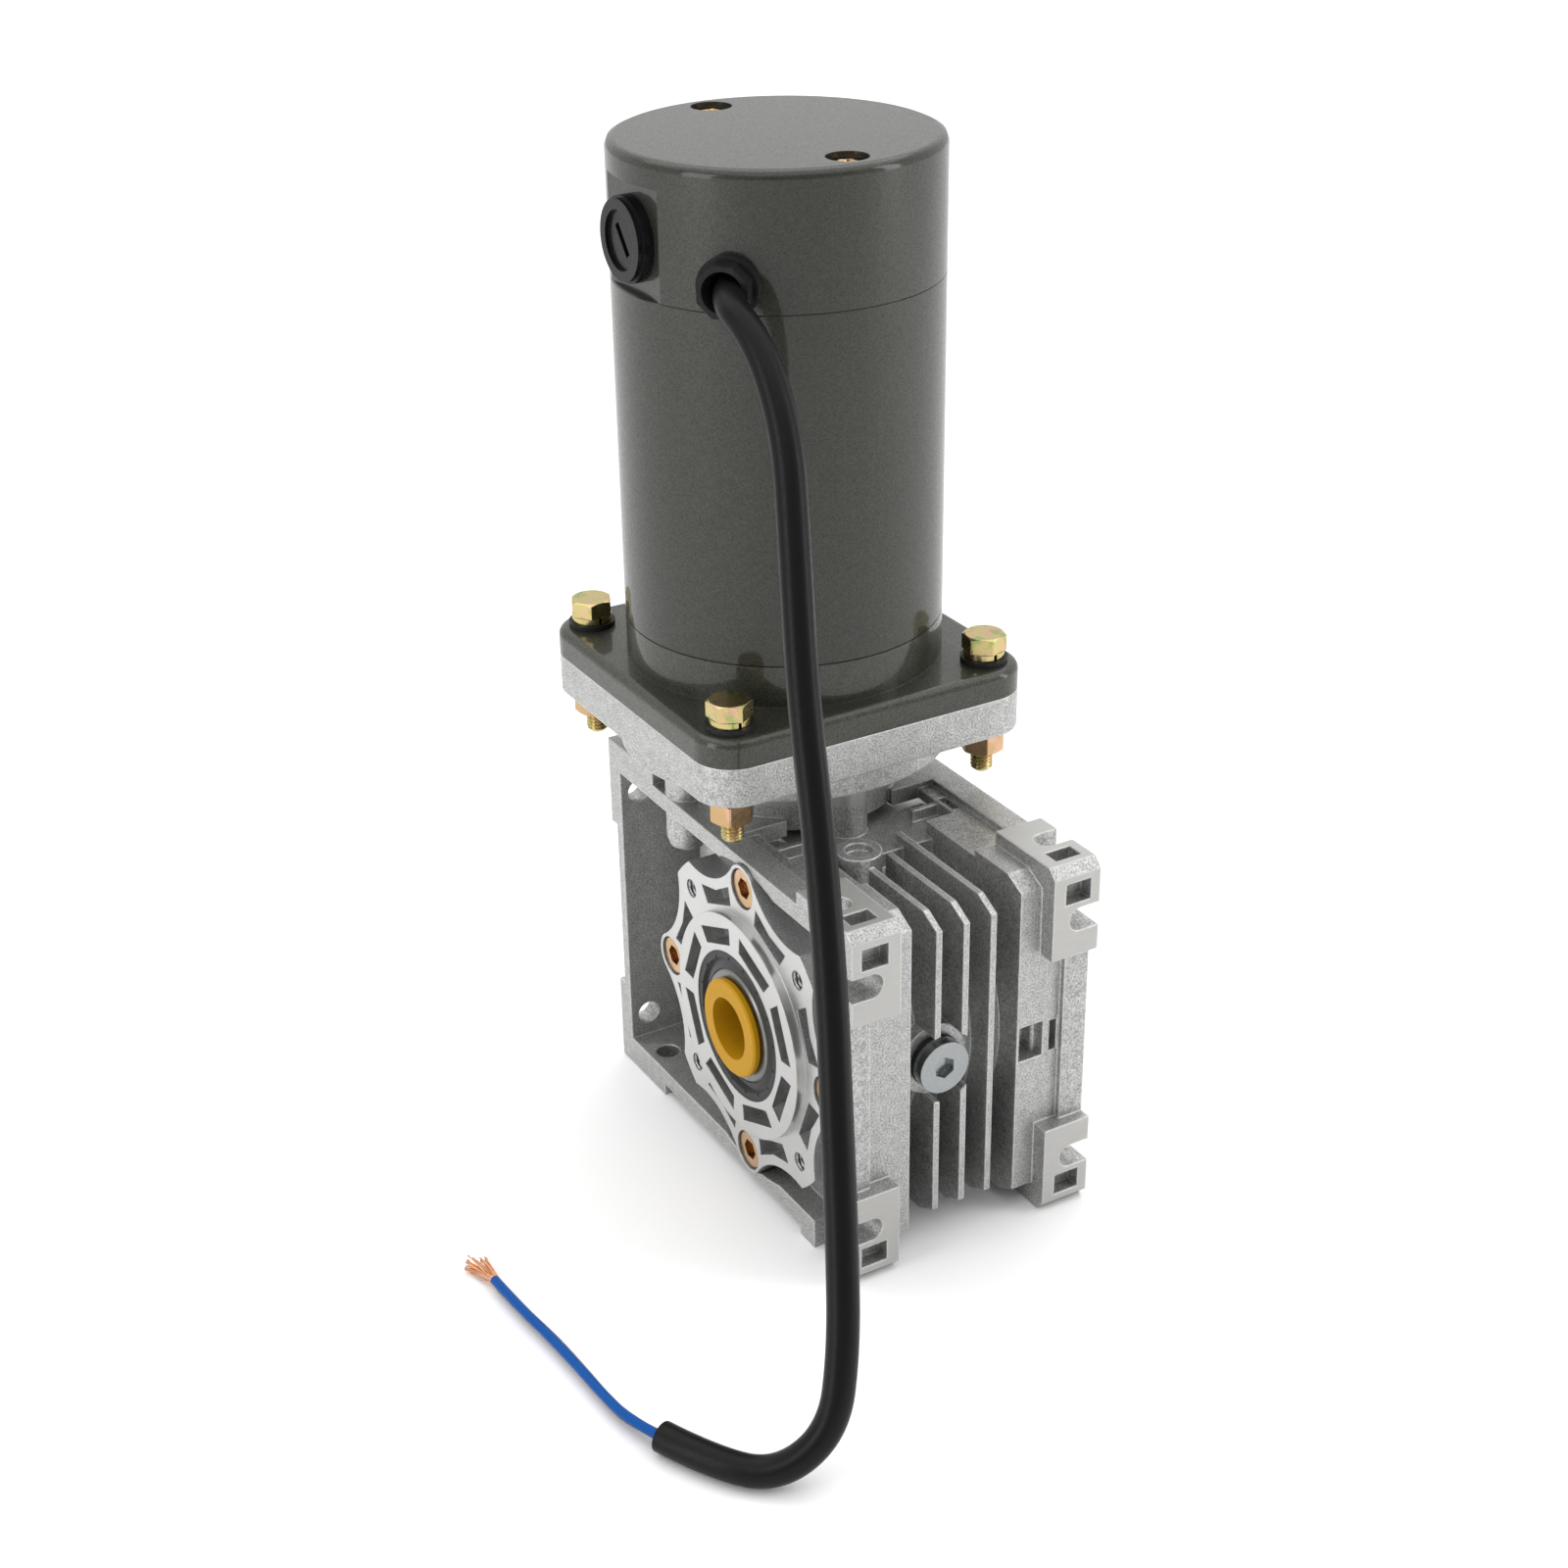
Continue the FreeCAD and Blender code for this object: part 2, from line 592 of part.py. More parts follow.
def make_output_side(name, side):
    """Seal and ball bearing of one end of the output shaft."""
    turn = TOWARD_FRONT if side == FRONT else ALONG_Y
    seal_inner = d.shaft_radius + 0.06
    node(turned("output_seal_" + name, [
        (seal_inner, d.spigot_face - 0.4), (seal_inner + 2.4, d.spigot_face - 1.0),
        (seal_inner + 2.9, d.spigot_face - 0.2), (d.seal_radius, d.spigot_face - 0.2),
        (d.seal_radius, d.bearing_near + 0.3), (seal_inner + 3, d.bearing_near + 0.3),
        (seal_inner, d.bearing_near + 3)], rotation=turn))
    node(ring("output_outer_race_" + name, d.seat_radius - 4.2, d.seat_radius,
              d.bearing_far, d.bearing_near, rotation=turn))
    node(ring("output_inner_race_" + name, d.shaft_radius, d.shaft_radius + 4.2,
              d.bearing_far, d.bearing_near, rotation=turn))


def make_output_shaft():
    """The hollow output shaft with a full-length keyway and a wider middle for the wheel."""
    profile = [
        (d.shaft_bore, -d.spigot_face), (d.shaft_radius - 0.6, -d.spigot_face),
        (d.shaft_radius, -d.spigot_face + 0.6), (d.shaft_radius, -d.bearing_far),
        (d.shaft_centre, -d.bearing_far), (d.shaft_centre, d.bearing_far),
        (d.shaft_radius, d.bearing_far), (d.shaft_radius, d.spigot_face - 0.6),
        (d.shaft_radius - 0.6, d.spigot_face), (d.shaft_bore, d.spigot_face)]
    shaft = turned("shaft_blank", profile, rotation=ALONG_Y)
    keyway = box("keyway", (-3, 3), (-d.spigot_face - 1, d.spigot_face + 1),
                 (0, d.shaft_bore + 2.8))
    mouth = cylinder("plug_mouth", d.shaft_bore + 0.4, -d.spigot_face - 1,
                     -d.spigot_face + 10.5, ALONG_Y)
    return node(cut("output_shaft", shaft, [keyway, mouth]))


def make_wheel():
    """The cast hub on the shaft and the bronze rim whose 30 teeth lean with the worm's lead."""
    node(turned("wheel_hub", [
        (d.shaft_centre, -d.hub_half), (d.shaft_centre + 4, -d.hub_half),
        (d.shaft_centre + 4, -d.rim_half), (d.rim_inner, -d.rim_half),
        (d.rim_inner, d.rim_half), (d.shaft_centre + 4, d.rim_half),
        (d.shaft_centre + 4, d.hub_half), (d.shaft_centre, d.hub_half)], rotation=ALONG_Y))
    module = float(d.gear_module)
    teeth = int(float(d.wheel_teeth))
    pitch_radius = module * teeth / 2
    tip = pitch_radius + module
    root = pitch_radius - 1.25 * module
    half = float(d.rim_half)
    blank = Part.makeCylinder(tip, 2 * half, Vector(0, -half, 0), Vector(0, 1, 0))
    blank = blank.cut(Part.makeCylinder(float(d.rim_inner), 2 * half + 2,
                                        Vector(0, -half - 1, 0), Vector(0, 1, 0)))
    slope = math.tan(math.radians(float(d.flank)))
    gap = math.pi * module - float(d.tooth_thick)

    def slot_section(y):
        """The gap between two teeth at this place across the rim, turned by the lead."""
        lean = math.degrees(y / float(d.worm_pitch) * module / 2 / pitch_radius)
        points = []
        for radius, sign in ((root, -1), (tip + 1, -1), (tip + 1, 1), (root, 1)):
            width = gap / 2 + (radius - pitch_radius) * slope
            points.append(Vector(-radius, y, sign * width))
        wire = Part.makePolygon(points + points[:1])
        wire.rotate(Vector(0, 0, 0), Vector(0, 1, 0), lean)
        return wire

    slot = Part.makeLoft([slot_section(-half - 0.5), slot_section(half + 0.5)], True, True)
    slots = []
    for k in range(teeth):
        copy = slot.copy()
        copy.rotate(Vector(0, 0, 0), Vector(0, 1, 0), 360 / teeth * k)
        slots.append(copy)
    node(shaped("wheel_rim", blank.cut(slots)))


def make_worm():
    """The worm: a shaft with its journals, hollow at the top for the motor, and one thread.

    Seen along the axis the threaded length is a cam: an arc at the tip, an arc at the root and a
    spiral flank on each side. Turned once for every lead along the axis, it gives the thread.
    """
    module = float(d.gear_module)
    root = float(d.worm_pitch) - 1.25 * module
    tip = float(d.worm_pitch) + module
    lead = math.pi * module
    half = float(d.thread_half)
    slope = math.tan(math.radians(float(d.flank)))
    tip_angle = 2 * math.pi * (float(d.tooth_thick) / 2 - module * slope) / lead
    root_angle = 2 * math.pi * (float(d.tooth_thick) / 2 + 1.25 * module * slope) / lead
    start = -2 * math.pi * half / lead

    def spot(radius, angle):
        return Vector(radius * math.cos(start + angle), radius * math.sin(start + angle), -half)

    def spiral(side):
        curve = Part.BSplineCurve()
        steps = [k / 6 for k in range(7)]
        curve.interpolate([spot(tip + (root - tip) * k,
                                side * (tip_angle + (root_angle - tip_angle) * k))
                           for k in steps])
        return curve.toShape()

    crest = Part.Arc(spot(tip, -tip_angle), spot(tip, 0), spot(tip, tip_angle)).toShape()
    valley = Part.Arc(spot(root, root_angle), spot(root, math.pi), spot(root, -root_angle))
    cam = Part.Wire(Part.__sortEdges__([crest, spiral(1), valley.toShape(), spiral(-1)]))
    axis = Part.Wire([Part.LineSegment(Vector(0, 0, -half), Vector(0, 0, half)).toShape()])
    guide = Part.makeHelix(lead, 2 * half, root)
    guide.translate(Vector(0, 0, -half))
    guide.rotate(Vector(0, 0, 0), Vector(0, 0, 1), math.degrees(start))
    sweep = Part.BRepOffsetAPI.MakePipeShell(axis)
    sweep.setAuxiliarySpine(Part.Wire(guide.Edges), True, 0)
    sweep.add(cam)
    sweep.build()
    sweep.makeSolid()
    lower = Part.makeCylinder(float(d.low_journal), -float(d.low_bottom) + 1 - half - 3,
                              Vector(0, 0, float(d.low_bottom) - 1))
    upper = Part.makeCylinder(float(d.high_journal), float(d.worm_top) - half - 3,
                              Vector(0, 0, half + 3))
    collar_low = Part.makeCylinder(float(d.low_journal) + 1.8, -float(d.low_top) - half - 3,
                                   Vector(0, 0, float(d.low_top)))
    collar_high = Part.makeCylinder(float(d.high_journal) + 1.8,
                                    float(d.high_bottom) - half - 3, Vector(0, 0, half + 3))
    run_in = Part.makeCone(float(d.low_journal) + 1.8, root, 3, Vector(0, 0, -half - 3))
    run_out = Part.makeCone(root, float(d.high_journal) + 1.8, 3, Vector(0, 0, half))
    solid = sweep.shape().multiFuse([lower, upper, collar_low, collar_high, run_in, run_out])
    socket = Part.makeCylinder(float(d.motor_bore), 60, Vector(0, 0, float(d.socket_floor)))
    keyway = Part.makeBox(8, 4, 60, Vector(0, -2, float(d.socket_floor)))
    node(shaped("worm", solid.cut([socket, keyway]), x=d.worm_x))


def make_worm_bearings():
    """Races of the two worm bearings, the cap under the lower one and the seal over the upper."""
    for name, journal, seat, low, high in (
            ("lower", d.low_journal, d.low_bearing, d.low_bottom, d.low_top),
            ("upper", d.high_journal, d.high_bearing, d.high_bottom, d.high_top)):
        depth = (seat - journal) * 0.36
        node(ring(f"worm_outer_race_{name}", seat - depth, seat, low, high, x=d.worm_x))
        node(ring(f"worm_inner_race_{name}", journal, journal + depth, low, high, x=d.worm_x))
    node(turned("worm_end_cap", [
        (0, -d.rim_height), (d.low_bearing, -d.rim_height), (d.low_bearing, d.low_bottom - 0.3),
        (d.low_bearing - 3, d.low_bottom - 0.3), (d.low_bearing - 3, -d.rim_height + 2.5),
        (0, -d.rim_height + 2.5)], x=d.worm_x))
    node(turned("input_seal", [
        (d.high_journal + 0.06, 41), (d.high_journal + 2.4, 44.6), (d.high_bearing, 44.6),
        (d.high_bearing, 38), (d.high_bearing - 2, 38), (d.high_bearing - 2, 43),
        (d.high_journal + 2.6, 43), (d.high_journal + 0.06, 39.4)], x=d.worm_x))


def make_oil_plug():
    """The socket plug between the fins, its O-ring under the head."""
    plug = socket_screw("oil_plug", 4.9, 7, 3.2, 7, 3.0)
    node(put(plug, 41.8, -5.7, 1.2, ALONG_X))
    node(turned("oil_plug_ring", [
        (5.1, 0), (6.6, 0), (7.1, 0.5), (7.1, 1.3), (6.6, 1.8), (5.1, 1.8)],
        x=40, y=-5.7, z=1.2, rotation=ALONG_X))


def square_plate(body, name, half, corner, low, thick):
    """A square plate with rounded corners: a pad whose four upright edges are filleted."""
    sketch = sketch_on(body, "XY_Plane", name, low)
    outline(sketch, [(-half, -half), (half, -half), (half, half), (-half, half)])
    plate = pad(body, sketch, name + "_pad", thick)
    doc.recompute()
    edges = [f"Edge{i + 1}" for i, edge in enumerate(plate.Shape.Edges)
             if abs(edge.tangentAt(edge.FirstParameter).z) > 0.99]
    fillet = body.newObject("PartDesign::Fillet", name + "_corners")
    fillet.Base = (plate, edges)
    bind(fillet, "Radius", corner)
    body.Tip = fillet
    doc.recompute()
    return fillet


def bolt_holes(body, name, top, depth, radius=3.2):
    """Four through holes on the square of the flange bolts."""
    sketch = sketch_on(body, "XY_Plane", name, top)
    circle(sketch, d.bolt_half, d.bolt_half, radius)
    hole = pocket(body, sketch, name + "_cut", depth)
    around(body, hole, sketch, name + "_all", 4)


def make_adaptor():
    """The bare aluminium plate between motor and gearbox, with the round step below it."""
    body = new_body("adaptor_plate")
    square_plate(body, "adaptor_square", d.plate_half, d.plate_corner, d.plate_low,
                 d.plate_top - d.plate_low)
    step = sketch_on(body, "XY_Plane", "adaptor_step", d.neck_top)
    circle(step, 0, 0, d.step_radius)
    pad(body, step, "adaptor_step_pad", d.plate_low - d.neck_top + 0.1)
    bolt_holes(body, "adaptor_bolts", d.plate_top, d.plate_top - d.plate_low + 1)
    way = sketch_on(body, "XY_Plane", "adaptor_way", d.plate_top)
    circle(way, 0, 0, 20)
    pocket(body, way, "adaptor_way_cut", d.plate_top - d.neck_top + 1)
    register = sketch_on(body, "XY_Plane", "adaptor_register", d.plate_top)
    circle(register, 0, 0, d.pilot_radius - 6)
    pocket(body, register, "adaptor_register_cut", 3.4)
    head = sketch_on(body, "XY_Plane", "adaptor_heads", d.plate_top)
    circle(head, d.neck_radius, 0, 4.6)
    sink = pocket(body, head, "adaptor_head_cut", 5.6)
    around(body, sink, head, "adaptor_heads_all", 4)
    stem = sketch_on(body, "XY_Plane", "adaptor_stems", d.plate_top)
    circle(stem, d.neck_radius, 0, 2.7)
    hole = pocket(body, stem, "adaptor_stem_cut", d.plate_top - d.neck_top + 1)
    around(body, hole, stem, "adaptor_stems_all", 4)
    node(put(body, d.worm_x))
    screw = socket_screw("adaptor_screw_pattern", 2.45, 4.25, 4.8, 33, 2.1)
    doc.recompute()
    seat = float(d.plate_top) - 5.6
    radius = float(d.neck_radius)
    places = [Placement(Vector(float(d.worm_x) + radius * math.cos(math.radians(90 * k)),
                               radius * math.sin(math.radians(90 * k)), seat), Rotation())
              for k in range(4)]
    node(group("adaptor_screws", screw, places))


def make_motor_flange():
    """The square end bell of the motor with its round boss, pilot and bearing seat."""
    body = new_body("motor_flange")
    square_plate(body, "flange_square", d.plate_half, d.plate_corner, d.plate_top,
                 d.flange_top - d.plate_top)
    boss = sketch_on(body, "XY_Plane", "flange_boss", d.flange_top - 0.1)
    circle(boss, 0, 0, d.motor_radius)
    pad(body, boss, "flange_boss_pad", d.boss_top - d.flange_top + 0.1)
    pilot = sketch_on(body, "XY_Plane", "flange_pilot", d.plate_top - 3)
    circle(pilot, 0, 0, d.pilot_radius - 6.1)
    pad(body, pilot, "flange_pilot_pad", 3.1)
    bolt_holes(body, "flange_bolts_way", d.flange_top, d.flange_top - d.plate_top + 1)
    way = sketch_on(body, "XY_Plane", "flange_way", d.boss_top)
    circle(way, 0, 0, 8)
    pocket(body, way, "flange_way_cut", d.boss_top - d.plate_top + 4)
    room = sketch_on(body, "XY_Plane", "flange_room", d.boss_top)
    circle(room, 0, 0, d.motor_radius - d.tube_wall)
    pocket(body, room, "flange_room_cut", 3)
    seat = sketch_on(body, "XY_Plane", "flange_seat", d.boss_top - 3)
    circle(seat, 0, 0, 16)
    last = pocket(body, seat, "flange_seat_cut", 10)
    body.Tip = last
    doc.recompute()
    edges = []
    for i, edge in enumerate(last.Shape.Edges):
        box_of = edge.BoundBox
        outer = max(abs(box_of.XMax), abs(box_of.YMax), abs(box_of.XMin), abs(box_of.YMin))
        level = abs(box_of.ZMin - float(d.flange_top)) < 1e-4 and box_of.ZLength < 1e-4
        if level and outer > float(d.plate_half) - 1e-3:
            edges.append(f"Edge{i + 1}")
    rounding = body.newObject("PartDesign::Fillet", "flange_rounding")
    rounding.Base = (last, edges)
    bind(rounding, "Radius", 2.2)
    body.Tip = rounding
    return node(put(body, d.worm_x))


def make_motor_shell():
    """The motor tube and the rear cap with its two brush flats and screw wells."""
    wall = d.motor_radius - d.tube_wall
    edge = d.motor_radius - 0.3
    node(turned("motor_tube", [
        (wall, d.boss_top), (edge, d.boss_top), (d.motor_radius, d.boss_top + 0.3),
        (d.motor_radius, d.cap_low - 0.3), (edge, d.cap_low), (wall, d.cap_low)], x=d.worm_x))
    shell = turned("cap_shell", [
        (wall, d.cap_low), (d.motor_radius, d.cap_low), (d.motor_radius, d.motor_top - 2.2),
        (d.motor_radius - 0.65, d.motor_top - 0.65), (d.motor_radius - 2.2, d.motor_top),
        (0, d.motor_top), (0, d.motor_top - 4), (wall, d.motor_top - 4)], x=d.worm_x)
    seat_wall = ring("cap_seat", 11, 15, d.motor_top - 12, d.motor_top - 3.9, x=d.worm_x)
    wells = [cylinder(f"cap_well_{k}", 7.2, d.cap_low + 1, d.motor_top - 0.5,
                      x=d.worm_x + k * 31.5) for k in (-1, 1)]
    keep = cylinder("cap_keep", d.motor_radius - 0.2, d.cap_low, d.motor_top + 1, x=d.worm_x)
    inside = doc.addObject("Part::MultiCommon", "cap_wells")
    inside.Shapes = [fuse("cap_well_pair", wells), keep]
    solid = fuse("cap_solid", [shell, seat_wall, inside])
    flat_x = (d.worm_x - 14, d.worm_x + 14)
    tools = [cylinder("brush_way", 7.5, -60, 60, ALONG_Y, x=d.worm_x, z=d.brush_height),
             box("brush_flat_near", flat_x, (-60, -d.brush_flat), (d.cap_low - 1, 206)),
             box("brush_flat_far", flat_x, (d.brush_flat, 60), (d.cap_low - 1, 206))]
    for k in (-1, 1):
        tools.append(cylinder(f"well_head_{k}", 5.1, d.motor_top - 4.5, d.motor_top + 1,
                              x=d.worm_x + k * 31.5))
        tools.append(cylinder(f"well_stem_{k}", 2.3, d.cap_low - 1, d.motor_top,
                              x=d.worm_x + k * 31.5))
    gland_way = cylinder("gland_way", 5.2, 20, 60)
    turn = Rotation(Vector(0, 0, 1), float(GLAND_ANGLE)).multiply(ALONG_X)
    out = turn.multVec(Vector(0, 0, 1))
    gland_way.Placement = Placement(
        Vector(float(d.worm_x), 0, GLAND_HEIGHT) + out * 20, turn)
    tools.append(gland_way)
    node(cut("rear_cap", solid, tools))


GLAND_ANGLE = -46
GLAND_HEIGHT = 186.5
SLOT_LEAN = -38


def gland_place(out):
    """A point on the gland's axis at this distance from the motor's axis."""
    angle = math.radians(GLAND_ANGLE)
    return Vector(float(d.worm_x) + out * math.cos(angle), out * math.sin(angle), GLAND_HEIGHT)


def make_brush_gear():
    """Brush caps with their slots, holders, springs and carbon brushes on the Y line."""
    holders, springs, brushes = [], [], []
    for side, name in ((FRONT, "near"), (BACK, "far")):
        turn = TOWARD_FRONT if side == FRONT else ALONG_Y
        body = new_body("brush_cap_" + name)
        skirt = sketch_on(body, "XY_Plane", f"{name}_cap_skirt", d.brush_flat)
        circle(skirt, 0, 0, 10.2)
        pad(body, skirt, f"{name}_cap_skirt_pad", 2.6)
        disc = sketch_on(body, "XY_Plane", f"{name}_cap_disc", d.brush_flat + 2.5)
        circle(disc, 0, 0, 9.6)
        pad(body, disc, f"{name}_cap_pad", 1.3)
        stem = sketch_on(body, "XY_Plane", f"{name}_cap_stem", 36.4)
        circle(stem, 0, 0, 7.3)
        pad(body, stem, f"{name}_cap_stem_pad", 2.2)
        dish = sketch_on(body, "XY_Plane", f"{name}_cap_dish", d.brush_flat + 3.8)
        circle(dish, 0, 0, 7.1)
        pocket(body, dish, f"{name}_cap_dish_cut", 0.9)
        slot = sketch_on(body, "XY_Plane", f"{name}_cap_slot", d.brush_flat + 2.9)
        lean = math.radians(SLOT_LEAN)
        along = (4.2 * math.sin(lean), 4.2 * math.cos(lean))
        across = (0.95 * math.cos(lean), -0.95 * math.sin(lean))
        outline(slot, [(p * along[0] + q * across[0], p * along[1] + q * across[1])
                       for p, q in ((-1, -1), (-1, 1), (1, 1), (1, -1))])
        body.Tip = pocket(body, slot, f"{name}_cap_slot_cut", 2.0)
        node(put(body, d.worm_x, 0, d.brush_height, turn))
        x = float(d.worm_x)
        level = float(d.brush_height)
        low, high = (-36.2, -14.6) if side == FRONT else (14.6, 36.2)
        sleeve = Part.makeCylinder(7.2, high - low, Vector(x, low, level), Vector(0, 1, 0))
        hollow = Part.makeBox(6.2, high - low + 2, 8.2, Vector(x - 3.1, low - 1, level - 4.1))
        holders.append(sleeve.cut(hollow))
        tip = 12.6 * side
        end = 24.0 * side
        brushes.append(Part.makeBox(6, abs(end - tip), 8,
                                    Vector(x - 3, min(tip, end), level - 4)))
        low = min(24 * side, 36.4 * side)
        coil = Part.makeCylinder(2.8, 12.4, Vector(x, low, level), Vector(0, 1, 0))
        core = Part.makeCylinder(2.0, 14, Vector(x, low - 0.8, level), Vector(0, 1, 0))
        springs.append(coil.cut(core))
    node(shaped("brush_holders", Part.makeCompound(holders)))
    node(shaped("brushes", Part.makeCompound(brushes)))
    node(shaped("brush_springs", Part.makeCompound(springs)))


def make_cap_screws():
    """The two long screws that hold cap, tube and end bell together."""
    screw = socket_screw("cap_screw_pattern", 2.0, 4.0, 3.0, 28, 1.8)
    doc.recompute()
    seat = float(d.motor_top) - 4.5
    node(group("cap_screws", screw, [
        Placement(Vector(float(d.worm_x) + k * 31.5, 0, seat), Rotation()) for k in (-1, 1)]))


def make_rotor():
    """Motor shaft, laminated core, windings and commutator, with the key to the worm."""
    node(turned("motor_shaft", [
        (0, 29), (5.1, 29), (5.45, 29.6), (5.45, 72), (6, 72.5), (6, 79), (6, 92), (7.2, 92),
        (7.2, 175), (5, 175), (5, 208), (0, 208)], x=d.worm_x))
    module_slots = 12
    outer = float(d.armature_radius)
    core = Part.makeCylinder(outer, 52, Vector(0, 0, 103)).cut(
        Part.makeCylinder(7.2, 54, Vector(0, 0, 102)))
    slots = []
    for k in range(module_slots):
        slot = Part.makeBox(8.5, 4.4, 54, Vector(outer - 7.2, -2.2, 102))
        slot.rotate(Vector(0, 0, 0), Vector(0, 0, 1), 360 / module_slots * k)
        slots.append(slot)
    node(shaped("armature_core", core.cut(slots), x=d.worm_x))
    ends = []
    for low, high in ((96, 102.9), (155.1, 162)):
        winding = Part.makeCylinder(21.5, high - low, Vector(0, 0, low)).cut(
            Part.makeCylinder(7.3, high - low + 2, Vector(0, 0, low - 1)))
        ends.append(winding)
    for k in range(module_slots):
        bar = Part.makeBox(5.6, 3.9, 52.4, Vector(outer - 7.0, -1.95, 102.8))
        bar.rotate(Vector(0, 0, 0), Vector(0, 0, 1), 360 / module_slots * k)
        ends.append(bar)
    node(shaped("armature_winding", ends[0].multiFuse(ends[1:]), x=d.worm_x))
    node(ring("commutator", 5.05, 12.5, 184, 200, x=d.worm_x))
    key = Part.makeBox(2.3, 3.96, 16, Vector(float(d.worm_x) + 5.46, -1.98, 32))
    node(shaped("motor_key", key))
    for name, journal, seat, low, high in (
            ("front", 6, 16, 80, 90), ("rear", 5, 11, 203.2, 208.4)):
        depth = (seat - journal) * 0.34
        node(ring(f"motor_outer_race_{name}", seat - depth, seat, low, high, x=d.worm_x))
        node(ring(f"motor_inner_race_{name}", journal, journal + depth, low, high, x=d.worm_x))


def make_magnets():
    """Two arc magnets glued in the tube."""
    inner = float(d.magnet_inner)
    outer = float(d.motor_radius) - float(d.tube_wall)
    arc = Part.makeCylinder(outer, 58, Vector(0, 0, 100)).cut(
        Part.makeCylinder(inner, 60, Vector(0, 0, 99)))
    gap = Part.makeBox(2 * outer + 2, 16, 62, Vector(-outer - 1, -8, 98))
    node(shaped("magnets", arc.cut(gap), x=d.worm_x))


def hexagon_prism(across, low, high):
    """A hexagon bar of this width across its flats."""
    radius = across / 2 / math.cos(math.radians(30))
    points = [Vector(radius * math.cos(math.radians(60 * k)),
                     radius * math.sin(math.radians(60 * k)), low) for k in range(7)]
    return Part.Face(Part.makePolygon(points)).extrude(Vector(0, 0, high - low))


def make_flange_bolts():
    """Hex bolts with spring and flat washers above, flat washers and nuts below the plates."""
    top = float(d.flange_top)
    low = float(d.plate_low)
    head = hexagon_prism(10, top + 3.2, top + 7.4)
    crown = Part.makeCone(7.0, 5.0, 2.0, Vector(0, 0, top + 5.6))
    head = head.common(crown.fuse(Part.makeCylinder(7.0, 4, Vector(0, 0, top + 1.6))))
    stem = Part.makeCylinder(2.95, top + 3.3 - (low - 11), Vector(0, 0, low - 11))
    bolt = head.fuse(stem)
    spring = Part.makeCylinder(5.2, 1.7, Vector(0, 0, top + 1.45)).cut(
        Part.makeCylinder(3.1, 4, Vector(0, 0, top)))
    spring = spring.cut(Part.makeBox(4, 0.8, 4, Vector(2, -0.4, top)))
    upper = Part.makeCylinder(6, 1.4, Vector(0, 0, top)).cut(
        Part.makeCylinder(3.15, 3, Vector(0, 0, top - 1)))
    lower = Part.makeCylinder(6, 1.4, Vector(0, 0, low - 1.4)).cut(
        Part.makeCylinder(3.15, 3, Vector(0, 0, low - 2)))
    nut = hexagon_prism(10, low - 6.4, low - 1.45).cut(
        Part.makeCylinder(3.0, 7, Vector(0, 0, low - 7)))
    pitch = float(d.bolt_half)
    spots = [Vector(float(d.worm_x) + sx * pitch, sy * pitch, 0)
             for sx in (-1, 1) for sy in (-1, 1)]
    for name, shape in (("flange_bolts", bolt), ("spring_washers", spring),
                        ("upper_washers", upper), ("lower_washers", lower),
                        ("flange_nuts", nut)):
        copies = []
        for spot in spots:
            copy = shape.copy()
            copy.translate(spot)
            copies.append(copy)
        node(shaped(name, Part.makeCompound(copies)))


def make_plug():
    """The push-in protection plug of the near shaft end."""
    node(turned("shaft_plug", [
        (8.2, -28.7), (9.3, -28.7), (9.35, -39.1), (12.6, -39.1), (13, -39.6), (13, -40.7),
        (12.5, -41.2), (8.2, -41.2)], rotation=ALONG_Y))


CABLE_ROUTE = [
    (-16.38, -24.46, 186.5), (-6.66, -34.53, 186.5), (8.3, -33.3, 179.4), (21.7, -34.2, 162.2),
    (32.5, -39.1, 140), (44, -44.3, 112), (57.2, -48.2, 82), (70.2, -53.3, 53),
    (82, -59.2, 25), (92.8, -64.6, 1), (101.3, -69.6, -19), (106.3, -75.4, -35.5),
    (102.2, -87.4, -46), (90.5, -97.2, -46.25), (77, -103, -46.25)]
BLUE_ROUTE = [
    (77.32, -103.9, -45.45), (68, -106.9, -47.4), (58, -107.8, -48.8), (45, -108.4, -48.8),
    (31, -109.4, -48.8), (18, -110.9, -48.8), (5, -111.6, -48.8)]
BROWN_ROUTE = [
    (76.58, -102.15, -47.25), (67, -103.4, -48.6), (57, -104.3, -48.8), (44, -105.2, -48.8),
    (30.5, -106.3, -48.8), (17.5, -107.9, -48.8), (6, -108.9, -48.8)]


def tube_along(label, route, diameter):
    """A tube through a route: straight runs joined by tangent arcs as large as the runs allow."""
    points = [Vector(*p) for p in route]
    edges = []
    here = points[0]
    radii = []
    for before, corner, after in zip(points, points[1:], points[2:]):
        back = (before - corner).normalize()
        ahead = (after - corner).normalize()
        half_turn = (math.pi - back.getAngle(ahead)) / 2
        shorter = min((before - corner).Length, (after - corner).Length)
        radius = 0.45 * shorter / math.tan(half_turn)
        radii.append(radius)
        first = corner + back * (0.45 * shorter)
        last = corner + ahead * (0.45 * shorter)
        inward = (back + ahead).normalize()
        middle = corner + inward * (radius / math.cos(half_turn) - radius)
        edges.append(Part.LineSegment(here, first).toShape())
        edges.append(Part.Arc(first, middle, last).toShape())
        here = last
    edges.append(Part.LineSegment(here, points[-1]).toShape())
    path = Part.Wire(edges)
    start_direction = (points[1] - points[0]).normalize()
    section = Part.Wire(Part.makeCircle(diameter / 2, points[0], start_direction))
    tube = path.makePipeShell([section], True, True)
    wanted = path.Length * math.pi * diameter * diameter / 4
    print(f"{label}: length {path.Length:.1f}, volume {tube.Volume:.1f} against {wanted:.1f}, "
          f"radii {[round(r, 1) for r in radii]}")
    return node(shaped(label, tube))


